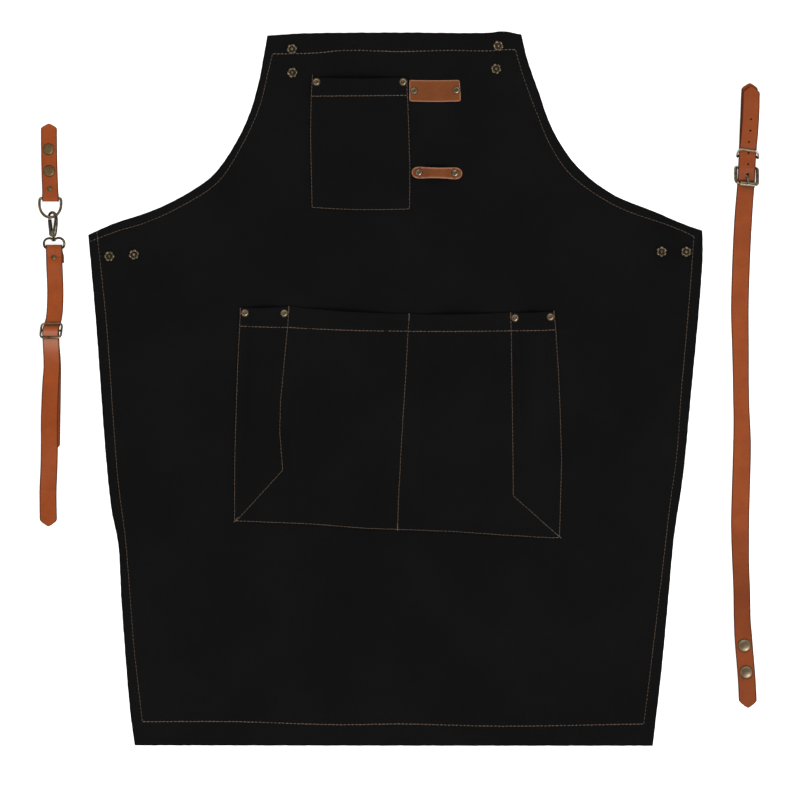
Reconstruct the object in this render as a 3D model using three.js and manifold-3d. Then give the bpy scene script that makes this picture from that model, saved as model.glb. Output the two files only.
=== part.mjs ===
// Kitchen apron lying flat, with its two leather straps unsnapped and laid beside it.
// Millimetres, +Z up. The floor is z = 0, the bib points to +Y, the origin is the middle
// of the whole layout on the floor.

import * as THREE from 'three';
import { mergeVertices } from 'three/addons/utils/BufferGeometryUtils.js';
import Module from 'manifold-3d';

const wasm = await Module();
wasm.setup();

// Cloth
const CLOTH = 1.0;
const HEM_FOLD = 1.0;
const PANEL_TOP = HEM_FOLD + CLOTH;
const POCKET_HEM = 1.8;
const GAP = 0.3;

// Leather
const LEATHER = 1.7;
const SKIVED = 1.2;
const PATCH_LEATHER = 1.6;
const TAB_WIDTH = 17.5;
const STRAP_WIDTH = 18.6;
const NECK_WIDTH = 19.0;
const TIP_WIDTH = 0.9;

// Fasteners
const RIVET_HEAD = 4.2;
const STRAP_RIVET_HEAD = 2.9;
const SHANK = 1.5;
const SHANK_HOLE = SHANK + GAP;
const POST = 1.7;
const POST_HOLE = POST + GAP;
const STUD_FLANGE = 3.8;
const FLANGE_LOW = 0.15;
const FLANGE_HIGH = 0.7;
const SNAP_SEAT = 4.45;
const FLAT_CAP = 6.4;
const DOME_CAP = 7.4;
const PETALS = 6;

// Wires
const RING_WIRE = 1.5;
const EYE_WIRE = 1.2;
const SLIDER_WIRE = 1.2;
const BUCKLE_WIRE = 1.3;
const KEEPER_WIRE = 1.0;
const ROLLER = 2.1;

const BLACK_CLOTH = { color: 0x161617, roughness: 0.95, metalness: 0 };
const TAN_LEATHER = { color: 0x9a4f2d, roughness: 0.6, metalness: 0 };
const BROWN_LEATHER = { color: 0x7a4629, roughness: 0.65, metalness: 0 };
const OLD_BRASS = { color: 0x5d523c, roughness: 0.4, metalness: 1 };
const COPPER_BRASS = { color: 0x6e5138, roughness: 0.4, metalness: 1 };

const apron = new THREE.Group();

// Every piece is one closed mesh with its own material.
function addPiece(name, geometry, look, parent = apron) {
  geometry.computeVertexNormals();
  const mesh = new THREE.Mesh(geometry, new THREE.MeshStandardMaterial(look));
  mesh.name = name;
  parent.add(mesh);
  return mesh;
}

function signedVolume(geometry) {
  const corners = geometry.getAttribute('position');
  const index = geometry.getIndex();
  const a = new THREE.Vector3();
  const b = new THREE.Vector3();
  const c = new THREE.Vector3();
  let total = 0;
  for (let i = 0; i < index.count; i += 3) {
    a.fromBufferAttribute(corners, index.getX(i));
    b.fromBufferAttribute(corners, index.getX(i + 1));
    c.fromBufferAttribute(corners, index.getX(i + 2));
    total += a.dot(b.cross(c));
  }
  return total;
}

// Shared corners are merged, flat leftovers dropped and the faces turned outwards.
function closed(geometry) {
  geometry.deleteAttribute('normal');
  geometry.deleteAttribute('uv');
  const merged = mergeVertices(geometry, 1e-4);
  const index = merged.getIndex();
  const kept = [];
  for (let i = 0; i < index.count; i += 3) {
    const [a, b, c] = [index.getX(i), index.getX(i + 1), index.getX(i + 2)];
    if (a !== b && b !== c && c !== a) {
      kept.push(a, b, c);
    }
  }
  merged.setIndex(kept);
  if (signedVolume(merged) < 0) {
    for (let i = 0; i < kept.length; i += 3) {
      [kept[i + 1], kept[i + 2]] = [kept[i + 2], kept[i + 1]];
    }
    merged.setIndex(kept);
  }
  return merged;
}

function toSolid(geometry) {
  const clean = closed(geometry);
  return new wasm.Manifold(new wasm.Mesh({
    numProp: 3,
    vertProperties: new Float32Array(clean.getAttribute('position').array),
    triVerts: new Uint32Array(clean.getIndex().array),
  }));
}

function toGeometry(solid) {
  const mesh = solid.getMesh();
  const geometry = new THREE.BufferGeometry();
  const corners = new Float32Array(mesh.vertProperties);
  geometry.setAttribute('position', new THREE.BufferAttribute(corners, 3));
  geometry.setIndex(new THREE.BufferAttribute(new Uint32Array(mesh.triVerts), 1));
  return geometry;
}

function join(...geometries) {
  return toGeometry(geometries.map(toSolid).reduce((sum, next) => sum.add(next)));
}

function cut(geometry, ...tools) {
  return toGeometry(tools.map(toSolid).reduce((rest, tool) => rest.subtract(tool), toSolid(geometry)));
}

// A straight round tool along Z, for holes and recesses.
function drill(x, y, radius, low = -5, high = 25, sides = 10) {
  const tool = new THREE.CylinderGeometry(radius, radius, high - low, sides);
  tool.rotateX(Math.PI / 2);
  tool.translate(x, y, (low + high) / 2);
  return tool;
}

// Moves each corner of a unit box: u across, v along, w through the thickness.
function bentBox(across, along, place) {
  const box = new THREE.BoxGeometry(1, 1, 1, across, along, 1);
  const corners = box.getAttribute('position');
  for (let i = 0; i < corners.count; i += 1) {
    const u = Math.round((corners.getX(i) + 0.5) * across);
    const v = Math.round((corners.getY(i) + 0.5) * along);
    const w = Math.round(corners.getZ(i) + 0.5);
    corners.setXYZ(i, ...place(u, v, w));
  }
  return closed(box);
}

// A ring of wire: the corners of a torus moved to a closed route of points.
function wireLoop(route, radius, steps, up = new THREE.Vector3(0, 0, 1), sides = 8) {
  const curve = new THREE.CatmullRomCurve3(route, true, 'centripetal');
  const torus = new THREE.TorusGeometry(1, 0.2, sides, steps);
  const uv = torus.getAttribute('uv');
  const corners = torus.getAttribute('position');
  for (let i = 0; i < corners.count; i += 1) {
    const along = uv.getX(i) % 1;
    const turn = uv.getY(i) * Math.PI * 2;
    const at = curve.getPointAt(along);
    const ahead = curve.getTangentAt(along);
    const side = new THREE.Vector3().crossVectors(ahead, up).normalize();
    const top = new THREE.Vector3().crossVectors(side, ahead).normalize();
    at.addScaledVector(side, radius * Math.cos(turn));
    at.addScaledVector(top, radius * Math.sin(turn));
    corners.setXYZ(i, at.x, at.y, at.z);
  }
  return closed(torus);
}

// Route of a frame: straight bars between rounded corners.
function framed(corners, bend) {
  return corners.flatMap((corner, i) => {
    const before = corners[(i + corners.length - 1) % corners.length];
    const after = corners[(i + 1) % corners.length];
    const back = before.clone().sub(corner).setLength(bend);
    const ahead = after.clone().sub(corner).setLength(bend);
    return [
      corner.clone().addScaledVector(back, 1.6),
      corner.clone().add(back),
      corner.clone().addScaledVector(back, 0.29).addScaledVector(ahead, 0.29),
      corner.clone().add(ahead),
      corner.clone().addScaledVector(ahead, 1.6),
    ];
  });
}

// A rod along an open route, with a radius for each end of every stretch.
function rod(route, radii, steps, sides = 8) {
  const curve = new THREE.CatmullRomCurve3(route, false, 'centripetal');
  const cylinder = new THREE.CylinderGeometry(1, 1, 1, sides, steps);
  const corners = cylinder.getAttribute('position');
  const out = new THREE.Vector3(0, 0, 1);
  for (let i = 0; i < corners.count; i += 1) {
    const along = Math.min(1, Math.max(0, corners.getY(i) + 0.5));
    const spot = along * (radii.length - 1);
    const first = Math.min(radii.length - 2, Math.floor(spot));
    const radius = THREE.MathUtils.lerp(radii[first], radii[first + 1], spot - first);
    const at = curve.getPointAt(along);
    const ahead = curve.getTangentAt(along);
    const side = new THREE.Vector3().crossVectors(ahead, out).normalize();
    const top = new THREE.Vector3().crossVectors(side, ahead).normalize();
    at.addScaledVector(side, radius * corners.getX(i));
    at.addScaledVector(top, radius * corners.getZ(i));
    corners.setXYZ(i, at.x, at.y, at.z);
  }
  return closed(cylinder);
}

// A turned piece standing on Z: the profile's columns are radius and height.
function turned(profile, sides) {
  const points = profile.map(([radius, height]) => new THREE.Vector2(radius, height));
  const lathe = new THREE.LatheGeometry(points, sides);
  lathe.rotateX(Math.PI / 2);
  return closed(lathe);
}

// A flat slab of an outline, with its rim run one way and its holes the other.
function plate(shape, low, high, steps = 6) {
  const points = shape.extractPoints(steps);
  const runs = THREE.ShapeUtils.isClockWise;
  const run = (loop, clockwise) => (runs(loop) === clockwise ? loop : loop.reverse());
  const rim = new THREE.Shape(run(points.shape, false));
  rim.holes = points.holes.map((hole) => new THREE.Path(run(hole, true)));
  const slab = new THREE.ExtrudeGeometry(rim, { depth: high - low, bevelEnabled: false });
  slab.translate(0, 0, low);
  return closed(slab);
}

// Smooth value of a column between the rows of a table that is sorted by y, highest first.
function columnAt(table, y, column) {
  const points = table.map((row) => new THREE.Vector2(row.y, row[column]));
  if (y >= points[0].x) {
    return points[0].y;
  }
  const next = points.findIndex((point) => point.x <= y);
  if (next < 0) {
    return points[points.length - 1].y;
  }
  const before = points[Math.max(0, next - 2)];
  const from = points[next - 1];
  const to = points[next];
  const after = points[Math.min(points.length - 1, next + 1)];
  const span = to.x - from.x;
  const t = (y - from.x) / span;
  const slopeFrom = ((to.y - before.y) / (to.x - before.x)) * span;
  const slopeTo = ((after.y - from.y) / (after.x - from.x)) * span;
  const rise = to.y - from.y;
  return from.y + slopeFrom * t + (3 * rise - 2 * slopeFrom - slopeTo) * t * t
    + (slopeFrom + slopeTo - 2 * rise) * t * t * t;
}

// Apron panel: its edges, corner to corner, clockwise from the bib's left corner.
const TOP_EDGE = [[-110, 404.5], [0, 405.5], [100, 405.2], [119, 406.8], [139, 403.3]];
const RIGHT_ARMHOLE = [
  [146.5, 373], [158, 341], [175, 295], [202, 254], [242, 222], [292, 201], [330, 185], [345.5, 180],
];
const RIGHT_SIDE = [
  [346, 155], [342.5, 100], [332, -13], [323.5, -100], [313.5, -167], [307.5, -231], [299, -321],
  [289, -407],
];
const BOTTOM_EDGE = [[0, -406.5], [-301, -406.5]];
const LEFT_SIDE = [
  [-306, -370], [-316, -245], [-320, -176], [-327, -141], [-333, -88], [-345.5, 79], [-354, 175],
];
const LEFT_ARMHOLE = [
  [-327, 187], [-280, 203], [-245, 220], [-213, 242], [-193, 268], [-173, 306], [-161, 344], [-150, 402],
];

// The raw inner edge of the turned hems, in the same order.
const HEM_TOP = [[-140, 379], [-60, 382], [0, 382], [129, 383.5]];
const HEM_RIGHT_ARMHOLE = [[137, 356], [157, 310], [172, 274], [196, 240], [245, 207], [334, 173]];
const HEM_RIGHT_SIDE = [[331, 120], [324, 34], [306, -102], [288, -270], [276, -380]];
const HEM_BOTTOM = [[0, -380], [-290, -377]];
const HEM_LEFT_SIDE = [[-299, -296], [-310, -164], [-325, -13], [-340, 165]];
const HEM_LEFT_ARMHOLE = [[-322, 175], [-250, 202], [-206, 234], [-180, 272], [-160, 318], [-140, 379]];

function outline(start, ...edges) {
  const shape = new THREE.Shape();
  shape.moveTo(...start);
  for (const edge of edges) {
    if (edge.length > 2) {
      shape.splineThru(edge.map((point) => new THREE.Vector2(...point)));
    } else {
      edge.forEach((point) => shape.lineTo(...point));
    }
  }
  return shape;
}

function roundHole(x, y, radius) {
  const rim = new THREE.EllipseCurve(x, y, radius, radius, 0, Math.PI * 2, true);
  return new THREE.Path(rim.getPoints(10).slice(1));
}

// Studs and rivets on the apron: place in plan and the height that the head sits on.
const STUDS = [
  { name: 'bib_stud_left_1', x: -122, y: 386.5 },
  { name: 'bib_stud_left_2', x: -121.5, y: 359.7 },
  { name: 'bib_stud_right_1', x: 113, y: 390 },
  { name: 'bib_stud_right_2', x: 110.5, y: 364 },
  { name: 'waist_stud_left_1', x: -330, y: 150.5 },
  { name: 'waist_stud_left_2', x: -302, y: 152.5 },
  { name: 'waist_stud_right_1', x: 299, y: 155.7 },
  { name: 'waist_stud_right_2', x: 327, y: 155.7 },
];
const POCKET_SEAT = PANEL_TOP + GAP + POCKET_HEM;
const LEATHER_SEAT = PANEL_TOP + GAP + PATCH_LEATHER;
const RIVETS = [
  { name: 'bib_rivet_1', x: -94, y: 349, seat: POCKET_SEAT },
  { name: 'bib_rivet_2', x: 4.5, y: 349, seat: POCKET_SEAT },
  { name: 'pocket_rivet_1', x: -175.5, y: 86, seat: POCKET_SEAT },
  { name: 'pocket_rivet_2', x: -130.8, y: 85.6, seat: POCKET_SEAT },
  { name: 'pocket_rivet_3', x: 132, y: 80.3, seat: POCKET_SEAT },
  { name: 'pocket_rivet_4', x: 172.5, y: 81.4, seat: POCKET_SEAT },
  { name: 'patch_rivet_1', x: 17, y: 339, seat: LEATHER_SEAT },
  { name: 'patch_rivet_2', x: 65.3, y: 339.6, seat: LEATHER_SEAT },
  { name: 'loop_rivet_1', x: 22.7, y: 246, seat: LEATHER_SEAT },
  { name: 'loop_rivet_2', x: 63.8, y: 245.2, seat: LEATHER_SEAT },
];

const panelEdges = [TOP_EDGE, RIGHT_ARMHOLE, RIGHT_SIDE, BOTTOM_EDGE, LEFT_SIDE, LEFT_ARMHOLE];
const panelShape = outline([-150, 402], ...panelEdges);
const hemShape = outline([-150, 402], ...panelEdges);
hemShape.holes.push(outline(
  [-140, 379],
  HEM_TOP.slice(1),
  HEM_RIGHT_ARMHOLE,
  HEM_RIGHT_SIDE,
  HEM_BOTTOM,
  HEM_LEFT_SIDE,
  HEM_LEFT_ARMHOLE,
));
for (const fastener of [...STUDS, ...RIVETS]) {
  panelShape.holes.push(roundHole(fastener.x, fastener.y, SHANK_HOLE));
}
const hemmedPanel = toSolid(plate(panelShape, HEM_FOLD, PANEL_TOP, 3))
  .add(toSolid(plate(hemShape, 0, HEM_FOLD + CLOTH / 2, 3))
    .subtract(toSolid(drill(STUDS[0].x, STUDS[0].y, STUD_FLANGE + 2 * GAP, -1, PANEL_TOP)))
    .subtract(toSolid(drill(STUDS[1].x, STUDS[1].y, STUD_FLANGE + 2 * GAP, -1, PANEL_TOP)))
    .subtract(toSolid(drill(STUDS[2].x, STUDS[2].y, STUD_FLANGE + 2 * GAP, -1, PANEL_TOP))));
addPiece('apron_panel', toGeometry(hemmedPanel), BLACK_CLOTH);

// Pockets: cloth that lies on the panel along its seams and stands a little open between
// them. A seam is a row of points from the mouth down to the bottom.
const POCKET_BASE = PANEL_TOP + GAP;
const SEAM_ALLOWANCE = 1.4;

function pocket({ seams, stations, rises, heights, hemRows }) {
  const rows = seams[0].length;
  const columns = [];
  for (let k = 0; k + 1 < seams.length; k += 1) {
    stations.forEach((share, i) => {
      if (i > 0 || k === 0) {
        columns.push({ seam: k, share, rise: rises[i] });
      }
    });
  }
  const first = { seam: 0, share: 0, rise: 0, out: -1 };
  const last = { seam: seams.length - 2, share: 1, rise: 0, out: 1 };
  const all = [first, ...columns, last];
  return bentBox(all.length - 1, rows, (u, v, w) => {
    const row = Math.min(rows - 1, rows - v);
    const column = all[u];
    const from = seams[column.seam][row];
    const to = seams[column.seam + 1][row];
    const x = THREE.MathUtils.lerp(from[0], to[0], column.share) + SEAM_ALLOWANCE * (column.out ?? 0);
    const y = THREE.MathUtils.lerp(from[1], to[1], column.share) - (v === 0 ? SEAM_ALLOWANCE : 0);
    const rise = v === 0 ? 0 : heights[column.seam][row] * column.rise;
    const wall = row < hemRows ? POCKET_HEM : CLOTH;
    return [x, y, POCKET_BASE + rise + w * wall];
  });
}

const BIB_SEAMS = [
  [[-98.5, 354], [-99.5, 341], [-100, 332.5], [-100.5, 290], [-100, 250], [-99.3, 222], [-99, 205]],
  [[9, 354], [9, 341], [9.4, 332.5], [10.4, 290], [12.2, 250], [12.4, 222], [11.8, 204.5]],
];
const bibPocket = pocket({
  seams: BIB_SEAMS,
  stations: [0, 0.09, 0.16, 0.25, 0.36, 0.5, 0.64, 0.75, 0.84, 0.91, 1],
  rises: [0, 0, 0.32, 0.68, 0.92, 1, 0.92, 0.68, 0.32, 0, 0],
  heights: [[7.2, 7.2, 7.2, 7, 6, 3.6, 0]],
  hemRows: 3,
});
const bibHoles = RIVETS.slice(0, 2).map(({ x, y }) => drill(x, y, SHANK_HOLE));
addPiece('bib_pocket', cut(bibPocket, ...bibHoles), BLACK_CLOTH);

// Lower pocket: five seams make four compartments; the outer two end on a slant.
const LOWER_SEAMS = [
  [
    [-180.5, 92.5], [-181.3, 80], [-182, 71], [-184.5, 30],
    [-186, -25], [-187.5, -85], [-187, -148], [-187, -151],
  ],
  [
    [-125.3, 92.5], [-125.8, 79.5], [-126, 69], [-129.5, 25],
    [-134, -15], [-135.5, -50], [-133, -92], [-140, -153.5],
  ],
  [
    [11.8, 85.8], [11.2, 74.5], [10.6, 64], [9, 20],
    [6.5, -25], [3.8, -70], [1.5, -120], [-0.5, -161],
  ],
  [
    [127.2, 87.5], [127.8, 75.5], [128.2, 64.5], [128.5, 20],
    [128.8, -25], [129.8, -75], [130, -122], [140, -167],
  ],
  [
    [176.5, 88], [178, 76], [179, 65], [181.5, 20],
    [183.5, -25], [185.2, -85], [183.2, -166], [182.8, -169.5],
  ],
];
const lowerPocket = pocket({
  seams: LOWER_SEAMS,
  stations: [0, 0.18, 0.28, 0.38, 0.5, 0.62, 0.72, 0.82, 1],
  rises: [0, 0, 0.55, 0.9, 1, 0.9, 0.55, 0, 0],
  heights: [
    [6, 6, 6, 5.6, 4.6, 2.4, 0, 0],
    [7.2, 7.2, 7.2, 7, 6.6, 6, 4, 0],
    [7.2, 7.2, 7.2, 7, 6.6, 6, 4, 0],
    [6, 6, 6, 5.6, 4.6, 2.4, 0, 0],
  ],
  hemRows: 3,
});
const lowerHoles = RIVETS.slice(2, 6).map(({ x, y }) => drill(x, y, SHANK_HOLE));
addPiece('lower_pocket', cut(lowerPocket, ...lowerHoles), BLACK_CLOTH);

// Leather patch and the round-ended towel loop, which arches between its rivets.
const PATCH = { left: 11.7, right: 70.2, low: 327, high: 351.4, corner: 2.2 };
const patchShape = new THREE.Shape();
patchShape.moveTo(PATCH.left + PATCH.corner, PATCH.low);
patchShape.lineTo(PATCH.right - PATCH.corner, PATCH.low);
patchShape.quadraticCurveTo(PATCH.right, PATCH.low, PATCH.right, PATCH.low + PATCH.corner);
patchShape.lineTo(PATCH.right, PATCH.high - PATCH.corner);
patchShape.quadraticCurveTo(PATCH.right, PATCH.high, PATCH.right - PATCH.corner, PATCH.high);
patchShape.lineTo(PATCH.left + PATCH.corner, PATCH.high);
patchShape.quadraticCurveTo(PATCH.left, PATCH.high, PATCH.left, PATCH.high - PATCH.corner);
patchShape.lineTo(PATCH.left, PATCH.low + PATCH.corner);
patchShape.quadraticCurveTo(PATCH.left, PATCH.low, PATCH.left + PATCH.corner, PATCH.low);
patchShape.holes.push(...RIVETS.slice(6, 8).map(({ x, y }) => roundHole(x, y, SHANK_HOLE)));
addPiece('label_patch', plate(patchShape, PANEL_TOP + GAP, LEATHER_SEAT, 3), BROWN_LEATHER);

// Towel loop stations along X: half width and the height of its underside.
const LOOP_MIDDLE = { y: 245.4, slope: -0.02 };
const LOOP = [
  { x: 14.8, half: 2.6, under: 2.3 },
  { x: 15.6, half: 4.4, under: 2.3 },
  { x: 17.6, half: 6.2, under: 2.3 },
  { x: 21, half: 7.0, under: 2.3 },
  { x: 27.6, half: 6.9, under: 2.3 },
  { x: 30, half: 6.8, under: 3.6 },
  { x: 32.5, half: 6.6, under: 6 },
  { x: 36, half: 6.5, under: 7.2 },
  { x: 43.2, half: 6.4, under: 7.5 },
  { x: 50.4, half: 6.5, under: 7.2 },
  { x: 53.9, half: 6.6, under: 6 },
  { x: 56.4, half: 6.8, under: 3.6 },
  { x: 58.8, half: 6.9, under: 2.3 },
  { x: 65.4, half: 7.0, under: 2.3 },
  { x: 68.8, half: 6.2, under: 2.3 },
  { x: 70.8, half: 4.4, under: 2.3 },
  { x: 71.6, half: 2.6, under: 2.3 },
];
const loopStrip = bentBox(LOOP.length - 1, 1, (u, v, w) => {
  const { x, half, under } = LOOP[u];
  const middle = LOOP_MIDDLE.y + LOOP_MIDDLE.slope * (x - 43.2);
  return [x, middle + (v * 2 - 1) * half, under + w * PATCH_LEATHER];
});
const loopHoles = RIVETS.slice(8).map(({ x, y }) => drill(x, y, SHANK_HOLE));
addPiece('towel_loop', cut(loopStrip, ...loopHoles), BROWN_LEATHER);

// Domed rivet with a dimple, its shank and the flat back under the panel.
function rivet(seat, head, flange, low, high, sides) {
  const base = seat + GAP;
  const dome = head * 0.36;
  return turned([
    [0, base + dome * 0.8],
    [head * 0.3, base + dome],
    [head * 0.72, base + dome * 0.75],
    [head, base + dome * 0.2],
    [head * 0.95, base],
    [SHANK * 0.9, base],
    [SHANK * 0.9, high],
    [flange, high],
    [flange, low],
    [0, low],
  ], sides);
}

for (const { name, x, y, seat } of RIVETS) {
  const piece = addPiece(name, rivet(seat, RIVET_HEAD, 3.2, FLANGE_LOW, FLANGE_HIGH, 10), COPPER_BRASS);
  piece.position.set(x, y, 0);
}

// Press stud: a six-petal disc with a raised rim, a hollow ring and a round boss.
const STUD_PROFILE = [
  { radius: 0, height: 5.2, petal: 0 },
  { radius: 1.5, height: 4.9, petal: 0 },
  { radius: 2.1, height: 4.1, petal: 0 },
  { radius: 1.9, height: 3.0, petal: 0 },
  { radius: 3.2, height: 2.9, petal: 0.15 },
  { radius: 4.4, height: 3.9, petal: 0.4 },
  { radius: 5.3, height: 3.0, petal: 0.6 },
  { radius: 5.1, height: 2.3, petal: 0.6 },
  { radius: SHANK, height: 2.3, petal: 0 },
  { radius: SHANK, height: FLANGE_HIGH, petal: 0 },
  { radius: STUD_FLANGE, height: FLANGE_HIGH, petal: 0 },
  { radius: STUD_FLANGE, height: FLANGE_LOW, petal: 0 },
  { radius: 0, height: FLANGE_LOW, petal: 0 },
];

function pressStud() {
  const points = STUD_PROFILE.map(({ radius, height }) => new THREE.Vector2(radius, height));
  const sides = PETALS * 2;
  const lathe = new THREE.LatheGeometry(points, sides);
  const corners = lathe.getAttribute('position');
  for (let i = 0; i < corners.count; i += 1) {
    const { radius, petal } = STUD_PROFILE[i % points.length];
    const turn = Math.floor(i / points.length) / sides * Math.PI * 2;
    const grown = radius + petal * Math.cos(PETALS * turn);
    corners.setXYZ(i, grown * Math.sin(turn), corners.getY(i), grown * Math.cos(turn));
  }
  lathe.rotateX(Math.PI / 2);
  return closed(lathe);
}

for (const { name, x, y } of STUDS) {
  addPiece(name, pressStud(), OLD_BRASS).position.set(x, y, 0);
}

// Leather strap: a ribbon along a side route (y and mid height z, with its own thickness
// and sideways shift where given), as wide as the plan table says, pointed at its tips.
function strap({ route, plan, width, tips = [] }) {
  const sideways = (y) => columnAt(plan, y, 'x');
  const halfWidth = (y) => tips.reduce((half, { shoulder, apex }) => {
    const past = (y - shoulder) / (apex - shoulder);
    const narrowed = THREE.MathUtils.lerp(width, TIP_WIDTH, Math.min(1, past)) / 2;
    return past > 0 ? Math.min(half, narrowed) : half;
  }, width / 2);
  return bentBox(1, route.length - 1, (u, v, w) => {
    const here = route[v];
    const before = route[Math.max(0, v - 1)];
    const after = route[Math.min(route.length - 1, v + 1)];
    const ahead = new THREE.Vector2(after.y - before.y, after.z - before.z).normalize();
    const off = (w - 0.5) * (here.t ?? LEATHER);
    const x = sideways(here.y) + (here.shift ?? 0) + (u * 2 - 1) * halfWidth(here.y);
    return [x, here.y - ahead.y * off, here.z + ahead.x * off];
  });
}

// Route points around a bar, from one angle to another (0 is +Y, 90 is up).
function around(bar, radius, from, to, steps, extra = {}) {
  const points = [];
  for (let i = 0; i <= steps; i += 1) {
    const angle = THREE.MathUtils.degToRad(THREE.MathUtils.lerp(from, to, i / steps));
    points.push({ y: bar.y + radius * Math.cos(angle), z: bar.z + radius * Math.sin(angle), ...extra });
  }
  return points;
}

// Press-stud cap with its post and the socket under the leather.
function snap(cap, dome, hollow, sides) {
  const top = LEATHER / 2 + GAP;
  const socketLow = 0.1 - SNAP_SEAT;
  const mouth = hollow ? [[2.5, socketLow], [2.5, socketLow + 1.9], [0, socketLow + 1.9]] : [[0, socketLow]];
  return turned([
    [0, top + dome],
    [cap * 0.45, top + dome * 0.93],
    [cap * 0.8, top + dome * 0.62],
    [cap, top + 0.35],
    [cap * 0.96, top],
    [POST, top],
    [POST, -top],
    [5.1, -top],
    [5.1, socketLow],
    ...mouth,
  ], sides);
}

function addSnap(name, x, y, cap, dome, hollow) {
  const sides = hollow ? 12 : 10;
  addPiece(name, snap(cap, dome, hollow, sides), OLD_BRASS).position.set(x, y, SNAP_SEAT);
}

// Rivet through two layers of a folded strap; z is the top of the upper layer.
function addStrapRivet(name, x, y, z) {
  addPiece(name, rivet(z, STRAP_RIVET_HEAD, 2.6, 0.1, 0.6, 10), COPPER_BRASS).position.set(x, y, 0);
}

// Waist tab: single leather with two snaps, folded round the bar of the D-ring.
const RING_BAR = { x: -397, y: 216.2, z: 3.8 };
const WAIST_TAB_PLAN = [
  { y: 301, x: -399 },
  { y: 272, x: -398.8 },
  { y: 247, x: -398.2 },
  { y: 213, x: -397.2 },
];
const WAIST_TAB_SNAPS = [{ x: -399, y: 272.4 }, { x: -398.2, y: 247.7 }];
const WAIST_TAB_RIVET = { x: -397.5, y: 228.4 };
const ringFold = RING_WIRE + GAP + LEATHER / 2;
const waistTab = strap({
  plan: WAIST_TAB_PLAN,
  width: TAB_WIDTH,
  tips: [{ shoulder: 296, apex: 301.5 }],
  route: [
    { y: 301.5, z: 3.6 },
    { y: 296, z: 3.9 },
    { y: 283, z: 4.35 },
    { y: 276, z: SNAP_SEAT },
    { y: 242, z: SNAP_SEAT },
    { y: 236, z: 4.2 },
    { y: 231.8, z: 3.8 },
    { y: 225, z: 3.8 },
    { y: 221.6, z: 4.9 },
    ...around(RING_BAR, ringFold, 72, 275, 9),
    { y: 222, z: 1.4 },
    { y: 224.5, z: 1.75 },
    { y: 234, z: 1.75 },
  ],
});
addPiece('waist_tab', cut(
  waistTab,
  ...WAIST_TAB_SNAPS.map(({ x, y }) => drill(x, y, POST_HOLE)),
  drill(WAIST_TAB_RIVET.x, WAIST_TAB_RIVET.y, SHANK_HOLE),
), TAN_LEATHER);
addSnap('waist_tab_snap_1', WAIST_TAB_SNAPS[0].x, WAIST_TAB_SNAPS[0].y, FLAT_CAP, 1.5, true);
addSnap('waist_tab_snap_2', WAIST_TAB_SNAPS[1].x, WAIST_TAB_SNAPS[1].y, FLAT_CAP, 1.5, true);
addStrapRivet('waist_tab_rivet', WAIST_TAB_RIVET.x, WAIST_TAB_RIVET.y, 4.65);

// D-ring: half width and drop from its bar; it rises towards its bow, where the hook holds it.
const HOOK_Z = 6.9;
const D_RING = [
  { across: -11, drop: -0.2 },
  { across: -12.2, drop: 1.6 },
  { across: -12.4, drop: 5 },
  { across: -11.9, drop: 10.5 },
  { across: -9.6, drop: 16 },
  { across: -5.4, drop: 20 },
  { across: 0, drop: 21.2 },
  { across: 5.4, drop: 20 },
  { across: 9.6, drop: 16 },
  { across: 11.9, drop: 10.5 },
  { across: 12.4, drop: 5 },
  { across: 12.2, drop: 1.6 },
  { across: 11, drop: -0.2 },
  { across: 6, drop: 0 },
  { across: 0, drop: 0 },
  { across: -6, drop: 0 },
];
const ringRoute = D_RING.map(({ across, drop }) => new THREE.Vector3(
  RING_BAR.x + across,
  RING_BAR.y - drop,
  RING_BAR.z + Math.max(0, drop) / 21.2 * (HOOK_Z - RING_BAR.z),
));
addPiece('d_ring', wireLoop(ringRoute, RING_WIRE, 34), OLD_BRASS);

// Snap hook: local y runs along it from the swivel button to the crown, local x is towards
// the back, local z is through it. It lies rolled over, so that the ring crosses it.
const HOOK_ROLL = THREE.MathUtils.degToRad(45);
const HOOK_LEAN = THREE.MathUtils.degToRad(3.5);
const hook = new THREE.Group();
hook.position.set(-393, 167.3, HOOK_Z);
hook.rotation.set(0, -HOOK_ROLL, HOOK_LEAN, 'ZYX');
apron.add(hook);

const HOOK_SPINE = [
  { along: 5.7, back: 0.3, radius: 2.4 },
  { along: 9.5, back: 1.6, radius: 2.55 },
  { along: 15, back: 3.8, radius: 2.35 },
  { along: 21, back: 5.6, radius: 2.1 },
  { along: 26, back: 6.4, radius: 1.8 },
  { along: 30, back: 5.6, radius: 1.7 },
  { along: 32.6, back: 2.6, radius: 1.6 },
  { along: 33, back: -1, radius: 1.6 },
  { along: 31.2, back: -4.3, radius: 1.4 },
  { along: 26.7, back: -5.3, radius: 1.3 },
];
const GATE_PIN = { along: 9, back: -3.3, radius: 0.75 };
const CHEEK = { inner: 1.7, outer: 2.3 };
const SWIVEL_PIN = 1.25;

function hookPoint(row) {
  return new THREE.Vector3(row.back, row.along, 0);
}

const spine = rod(HOOK_SPINE.map(hookPoint), HOOK_SPINE.map(({ radius }) => radius), 22);
const button = new THREE.LatheGeometry([
  new THREE.Vector2(0, 0),
  new THREE.Vector2(2.1, 0),
  new THREE.Vector2(2.8, 0.6),
  new THREE.Vector2(2.8, 1.4),
  new THREE.Vector2(SWIVEL_PIN, 1.4),
  new THREE.Vector2(SWIVEL_PIN, 5.3),
  new THREE.Vector2(2.1, 5.3),
  new THREE.Vector2(2.1, 6.5),
  new THREE.Vector2(0, 6.5),
], 10);
const cheekShape = new THREE.Shape();
cheekShape.moveTo(1.2, 5.6);
cheekShape.lineTo(1.8, 13);
cheekShape.lineTo(-3.4, 11.6);
cheekShape.lineTo(-5, 9.6);
cheekShape.lineTo(-4.6, 7.4);
cheekShape.lineTo(-1.6, 5.6);
cheekShape.lineTo(1.2, 5.6);
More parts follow.
